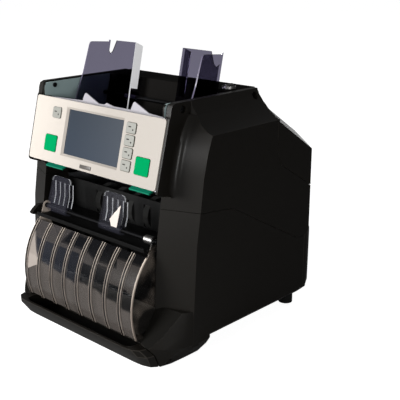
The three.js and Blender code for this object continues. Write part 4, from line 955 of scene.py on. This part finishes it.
class COUNTER_OT_finishes(bpy.types.Operator):
    """Gives every CAD node its finish"""
    bl_idname = "counter.finishes"
    bl_label = "Finishes"

    # Nodes that are finished otherwise than their slot says
    own_finish = {
        "hinge_pin": "shaft_steel",
        "drive_motor": "shaft_steel",
        "front_rod": "dark_steel",
        "guide_rail": "dark_steel",
    }

    def execute(self, context):
        for name, node in NODES.items():
            if not node.material_slots:
                raise RuntimeError(f"{name} has no material slot")
            for slot_item in node.material_slots:
                slot_item.material = material(self.own_finish.get(name, SLOT_OF[name]))
        return {"FINISHED"}


class COUNTER_OT_casing(bpy.types.Operator):
    """Rounds the edges of the moulded covers and the front tray"""
    bl_idname = "counter.casing"
    bl_label = "Casing"

    def execute(self, context):
        edge = context.scene.counter_casing.edge
        # The toe slopes of the lower side covers and the front tray get painted shade.
        for side in SIDES:
            skin(f"lower_side_cover_{side}", edge, accents=((toe_slope, "casing_toe_shade"),))
            skin(f"upper_side_cover_{side}", edge)
        skin("front_tray", edge, accents=((toe_slope, "casing_toe_shade"),))
        skin("lower_rear_cover", edge)
        skin("upper_rear_cover", edge)
        return {"FINISHED"}


class COUNTER_OT_hopper(bpy.types.Operator):
    """Rounds the hopper's walls and front plate, the top deck and the feed-gap knob"""
    bl_idname = "counter.hopper"
    bl_label = "Hopper"

    wall_share = 0.5
    deck_share = 0.6
    knob_share = 0.4
    plate_edge = 0.5 * MM

    def execute(self, context):
        edge = context.scene.counter_casing.edge
        # The walls' front edges take the dark casing finish: painted shade.
        for side in SIDES:
            skin(f"hopper_wall_{side}", edge * self.wall_share, accents=((wall_front, "casing"),))
        skin("hopper_front_plate", self.plate_edge)
        skin("top_deck", edge * self.deck_share, "casing_matt")
        skin("gap_knob", edge * self.knob_share, accents=((knob_rim, "bush_steel"),))
        return {"FINISHED"}


class COUNTER_OT_pocket_floors(bpy.types.Operator):
    """Rounds the reject pocket's shelf and the stacker's floor"""
    bl_idname = "counter.pocket_floors"
    bl_label = "Pocket floors"

    shelf_share = 0.6
    floor_share = 0.5

    def execute(self, context):
        edge = context.scene.counter_casing.edge
        skin("reject_shelf", edge * self.shelf_share)
        skin("stacker_floor", edge * self.floor_share)
        return {"FINISHED"}


class COUNTER_OT_panel(bpy.types.Operator):
    """Rounds the control panel and its housing, and adds the bare badge plate"""
    bl_idname = "counter.panel"
    bl_label = "Control panel"

    bezel_edge = 0.7 * MM
    housing_edge = 0.6 * MM

    # Badge plate, in the panel's own directions
    badge_size = (20.5 * MM, 4.6 * MM, 0.8 * MM)
    badge_centre = (-4.6 * MM, -74.4 * MM, 0.2 * MM)
    badge_edge = 0.35 * MM

    def execute(self, context):
        skin("panel_bezel", self.bezel_edge)
        skin("panel_housing", self.housing_edge)
        plate = started(bpy.ops.mesh.primitive_cube_add, self.badge_size, self.badge_centre)
        rounded(plate, "plate_corners", self.badge_edge, 3)
        apply_all(plate)
        settle(plate, "badge_plate", "upper_unit", "badge", PANEL_PLACE)
        return {"FINISHED"}


class COUNTER_OT_keys(bpy.types.Operator):
    """Rounds the keys, and gives each small key a rim and a plain mark"""
    bl_idname = "counter.keys"
    bl_label = "Keys"

    key_edge = 0.5 * MM

    # Rim: half its opening, its middle above the bezel, the radius of its corners, its thickness
    rim_half = (7.7 * MM, 5.9 * MM)
    rim_level = 0.15 * MM
    rim_corner = 2.2 * MM
    rim_thickness = 0.3 * MM

    # Mark: a bar and a dot on the key's face, which is this high above the bezel
    bar_size = (4.2 * MM, 1.3 * MM, 1.0)
    bar_centre = (-2.2 * MM, 1.2 * MM, 0.0)
    dot_radius = 1.0 * MM
    dot_centre = (3.4 * MM, -1.8 * MM, 0.0)
    ink_thickness = 0.12 * MM
    key_level = 1.23 * MM

    def execute(self, context):
        for key in SMALL_KEYS:
            skin(key, self.key_edge)
            self.rim(key, context.scene.counter_panel.rim)
        for key in START_KEYS:
            skin(key, self.key_edge)
        self.marks()
        return {"FINISHED"}

    def centre(self, key):
        """The middle of a key, in the panel's own directions."""
        return PANEL_PLACE.inverted() @ middle(key)

    def rim(self, key, width):
        """A raised rim with round corners on the bezel round a key."""
        centre = self.centre(key)
        size = (2.0 * (self.rim_half[0] + width), 2.0 * (self.rim_half[1] + width), 1.0)
        ring = started(bpy.ops.mesh.primitive_plane_add, size, (centre.x, centre.y, self.rim_level))
        edit(ring)
        bpy.ops.mesh.select_all(action="SELECT")
        bpy.ops.mesh.bevel(offset=self.rim_corner, segments=4, affect="VERTICES")
        bpy.ops.mesh.select_mode(type="FACE")
        bpy.ops.mesh.select_all(action="SELECT")
        bpy.ops.mesh.inset(thickness=width)
        bpy.ops.mesh.delete(type="FACE")
        leave()
        thickened(ring, "rim_height", self.rim_thickness)
        apply_all(ring)
        settle(ring, f"{key}_rim", "upper_unit", "key_rim", PANEL_PLACE)

    def marks(self):
        """A short bar and a dot on each small key, modelled once and copied."""
        mark = started(bpy.ops.mesh.primitive_plane_add, self.bar_size, self.bar_centre)
        edit(mark)
        bpy.ops.mesh.primitive_circle_add(vertices=14, radius=self.dot_radius, fill_type="NGON",
                                          location=self.dot_centre)
        leave()
        thickened(mark, "ink_height", self.ink_thickness)
        apply_all(mark)
        for key in SMALL_KEYS:
            centre = self.centre(key)
            place = PANEL_PLACE @ Matrix.Translation((centre.x, centre.y, self.key_level))
            copy = duplicate(mark)
            settle(copy, f"{key}_mark", body_of_node(key), "key_mark", place)
        bpy.data.objects.remove(mark)


class COUNTER_OT_clear_parts(bpy.types.Operator):
    """Finishes the smoked guides, the clear stoppers on their rod and the ribbed stacker cover"""
    bl_idname = "counter.clear_parts"
    bl_label = "Clear parts"

    cover_edge = 0.15 * MM

    def execute(self, context):
        edge = context.scene.counter_clear.edge
        # The left guide's inner flange gets a painted glow.
        guide_accents = ((sheet_edge, "guide_edge"), (inner_flange, "frost"))
        # The stoppers' narrow edges get a painted highlight.
        stopper_accents = ((web_front, "clear_glint"), (web_edge, "clear_edge_highlight"))
        for side in SIDES:
            skin(f"guide_{side}", edge, "smoke", 1, guide_accents)
            skin(f"stopper_{side}", edge, "clear", 1, stopper_accents)
        # The cover's rib sides get a painted highlight.
        skin("stacker_cover", self.cover_edge, "cover_smoke", 1, ((rib_side, "smoke_edge_highlight"),))
        skin("front_rod", edge, "dark_steel", 1, ((bush, "bush_steel"),))
        return {"FINISHED"}


class COUNTER_OT_deck_wall(bpy.types.Operator):
    """Closes the step behind the top deck with a panelled wall"""
    bl_idname = "counter.deck_wall"
    bl_label = "Deck rear wall"

    # The wall hangs under the deck's sheet, down to this far below the deck's top
    deck_sheet = 2.8 * MM
    drop = 23.4 * MM
    thickness = 2.6 * MM
    edge = 0.4 * MM

    # Sunk panel in its rear face: its margin, and the width and depth of its slope
    margin = 2.4 * MM
    slope = 0.7 * MM
    sunk = 0.9 * MM

    def execute(self, context):
        low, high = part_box("top_deck")
        bottom = high[2] - self.drop
        top = high[2] - self.deck_sheet
        size = (high[0] - low[0], self.thickness, top - bottom)
        centre = (0.0, high[1] - self.thickness / 2.0, (top + bottom) / 2.0)
        wall = started(bpy.ops.mesh.primitive_cube_add, size, centre)
        for polygon in wall.data.polygons:
            polygon.select = polygon.normal.y > ALONG_AXIS
        edit(wall)
        bpy.ops.mesh.select_mode(type="FACE")
        bpy.ops.mesh.inset(thickness=self.margin)
        bpy.ops.mesh.inset(thickness=self.slope, depth=-self.sunk)
        leave()
        rounded(wall, "wall_edges", self.edge, 2)
        apply_all(wall)
        settle(wall, "deck_rear_wall", "upper_unit", "casing")
        return {"FINISHED"}


class COUNTER_OT_fasteners(bpy.types.Operator):
    """Adds the screws in the cover wells, the hopper walls and the toes"""
    bl_idname = "counter.fasteners"
    bl_label = "Fasteners"

    # Screw head: its height and edge, and its six-sided socket
    head_height = 1.6 * MM
    head_edge = 0.4 * MM
    socket_radius = 1.6 * MM
    socket_level = 0.7 * MM

    # Places: out from the middle, back from the columns' foot, and up
    well_rows = {"front": 18.3 * MM, "rear": 138.6 * MM}
    well_out = 114.9 * MM
    well_up = 294.8 * MM
    wall_place = (104.9 * MM, 15.1 * MM, 297.4 * MM)
    toe_place = (131.0 * MM, -21.0 * MM, 21.1 * MM)
    toe_share = 0.82

    def execute(self, context):
        head = self.socket_head(context.scene.counter_fasteners.radius)
        for side, sign in SIDES.items():
            outward = Matrix.Rotation(math.pi / 2.0 * sign, 4, "Y")
            for row, back in self.well_rows.items():
                place = self.spot(sign, (self.well_out, back, self.well_up)) @ outward
                self.put(head, f"cover_screw_{row}_{side}", "upper_unit", place)
            place = self.spot(sign, self.wall_place) @ outward.inverted()
            self.put(head, f"hopper_wall_screw_{side}", "upper_unit", place)
            down = Matrix.Rotation(math.pi, 4, "X") @ Matrix.Scale(self.toe_share, 4)
            self.put(head, f"toe_screw_{side}", "base", self.spot(sign, self.toe_place) @ down)
        bpy.data.objects.remove(head)
        return {"FINISHED"}

    def socket_head(self, radius):
        """One low screw head with a six-sided socket, its top along Z."""
        bpy.ops.object.select_all(action="DESELECT")
        bpy.ops.mesh.primitive_cylinder_add(vertices=28, radius=radius, depth=self.head_height)
        head = bpy.context.object
        rounded(head, "head_edge", self.head_edge, 3)
        bpy.ops.object.select_all(action="DESELECT")
        bpy.ops.mesh.primitive_cylinder_add(vertices=6, radius=self.socket_radius, depth=self.head_height,
                                            location=(0.0, 0.0, self.socket_level))
        socket = bpy.context.object
        cut = head.modifiers.new("socket", "BOOLEAN")
        cut.operation = "DIFFERENCE"
        cut.object = socket
        apply_all(head)
        bpy.data.objects.remove(socket)
        return head

    def spot(self, sign, place):
        """The place of a screw on one side of the machine."""
        out, back, up = place
        return Matrix.Translation((sign * out, COLUMN_FOOT_Y + back, up))

    def put(self, head, name, body, place):
        """Copies the screw head to its place."""
        settle(duplicate(head), name, body, "screw", place)


OPERATORS = (
    COUNTER_OT_stage,
    COUNTER_OT_finishes,
    COUNTER_OT_casing,
    COUNTER_OT_hopper,
    COUNTER_OT_pocket_floors,
    COUNTER_OT_panel,
    COUNTER_OT_keys,
    COUNTER_OT_clear_parts,
    COUNTER_OT_deck_wall,
    COUNTER_OT_fasteners,
)


class COUNTER_PT_sidebar(bpy.types.Panel):
    """Lists the steps that dress the counter"""
    bl_idname = "COUNTER_PT_sidebar"
    bl_label = "Banknote counter"
    bl_space_type = "VIEW_3D"
    bl_region_type = "UI"
    bl_category = "Counter"

    def draw(self, context):
        column = self.layout.column()
        for operator in OPERATORS:
            column.operator(operator.bl_idname)
        for name, group in GROUPS.items():
            for setting in group.__annotations__:
                column.prop(getattr(context.scene, name), setting)


def register():
    for name, group in GROUPS.items():
        bpy.utils.register_class(group)
        setattr(bpy.types.Scene, name, PointerProperty(type=group))
    for operator in OPERATORS:
        bpy.utils.register_class(operator)
    bpy.utils.register_class(COUNTER_PT_sidebar)


def unregister():
    bpy.utils.unregister_class(COUNTER_PT_sidebar)
    for operator in reversed(OPERATORS):
        bpy.utils.unregister_class(operator)
    for name, group in GROUPS.items():
        delattr(bpy.types.Scene, name)
        bpy.utils.unregister_class(group)


def main():
    register()
    bpy.ops.counter.stage()
    bpy.ops.counter.finishes()
    bpy.ops.counter.casing()
    bpy.ops.counter.hopper()
    bpy.ops.counter.pocket_floors()
    bpy.ops.counter.panel()
    bpy.ops.counter.keys()
    bpy.ops.counter.clear_parts()
    bpy.ops.counter.deck_wall()
    bpy.ops.counter.fasteners()


if __name__ == "__main__":
    main()
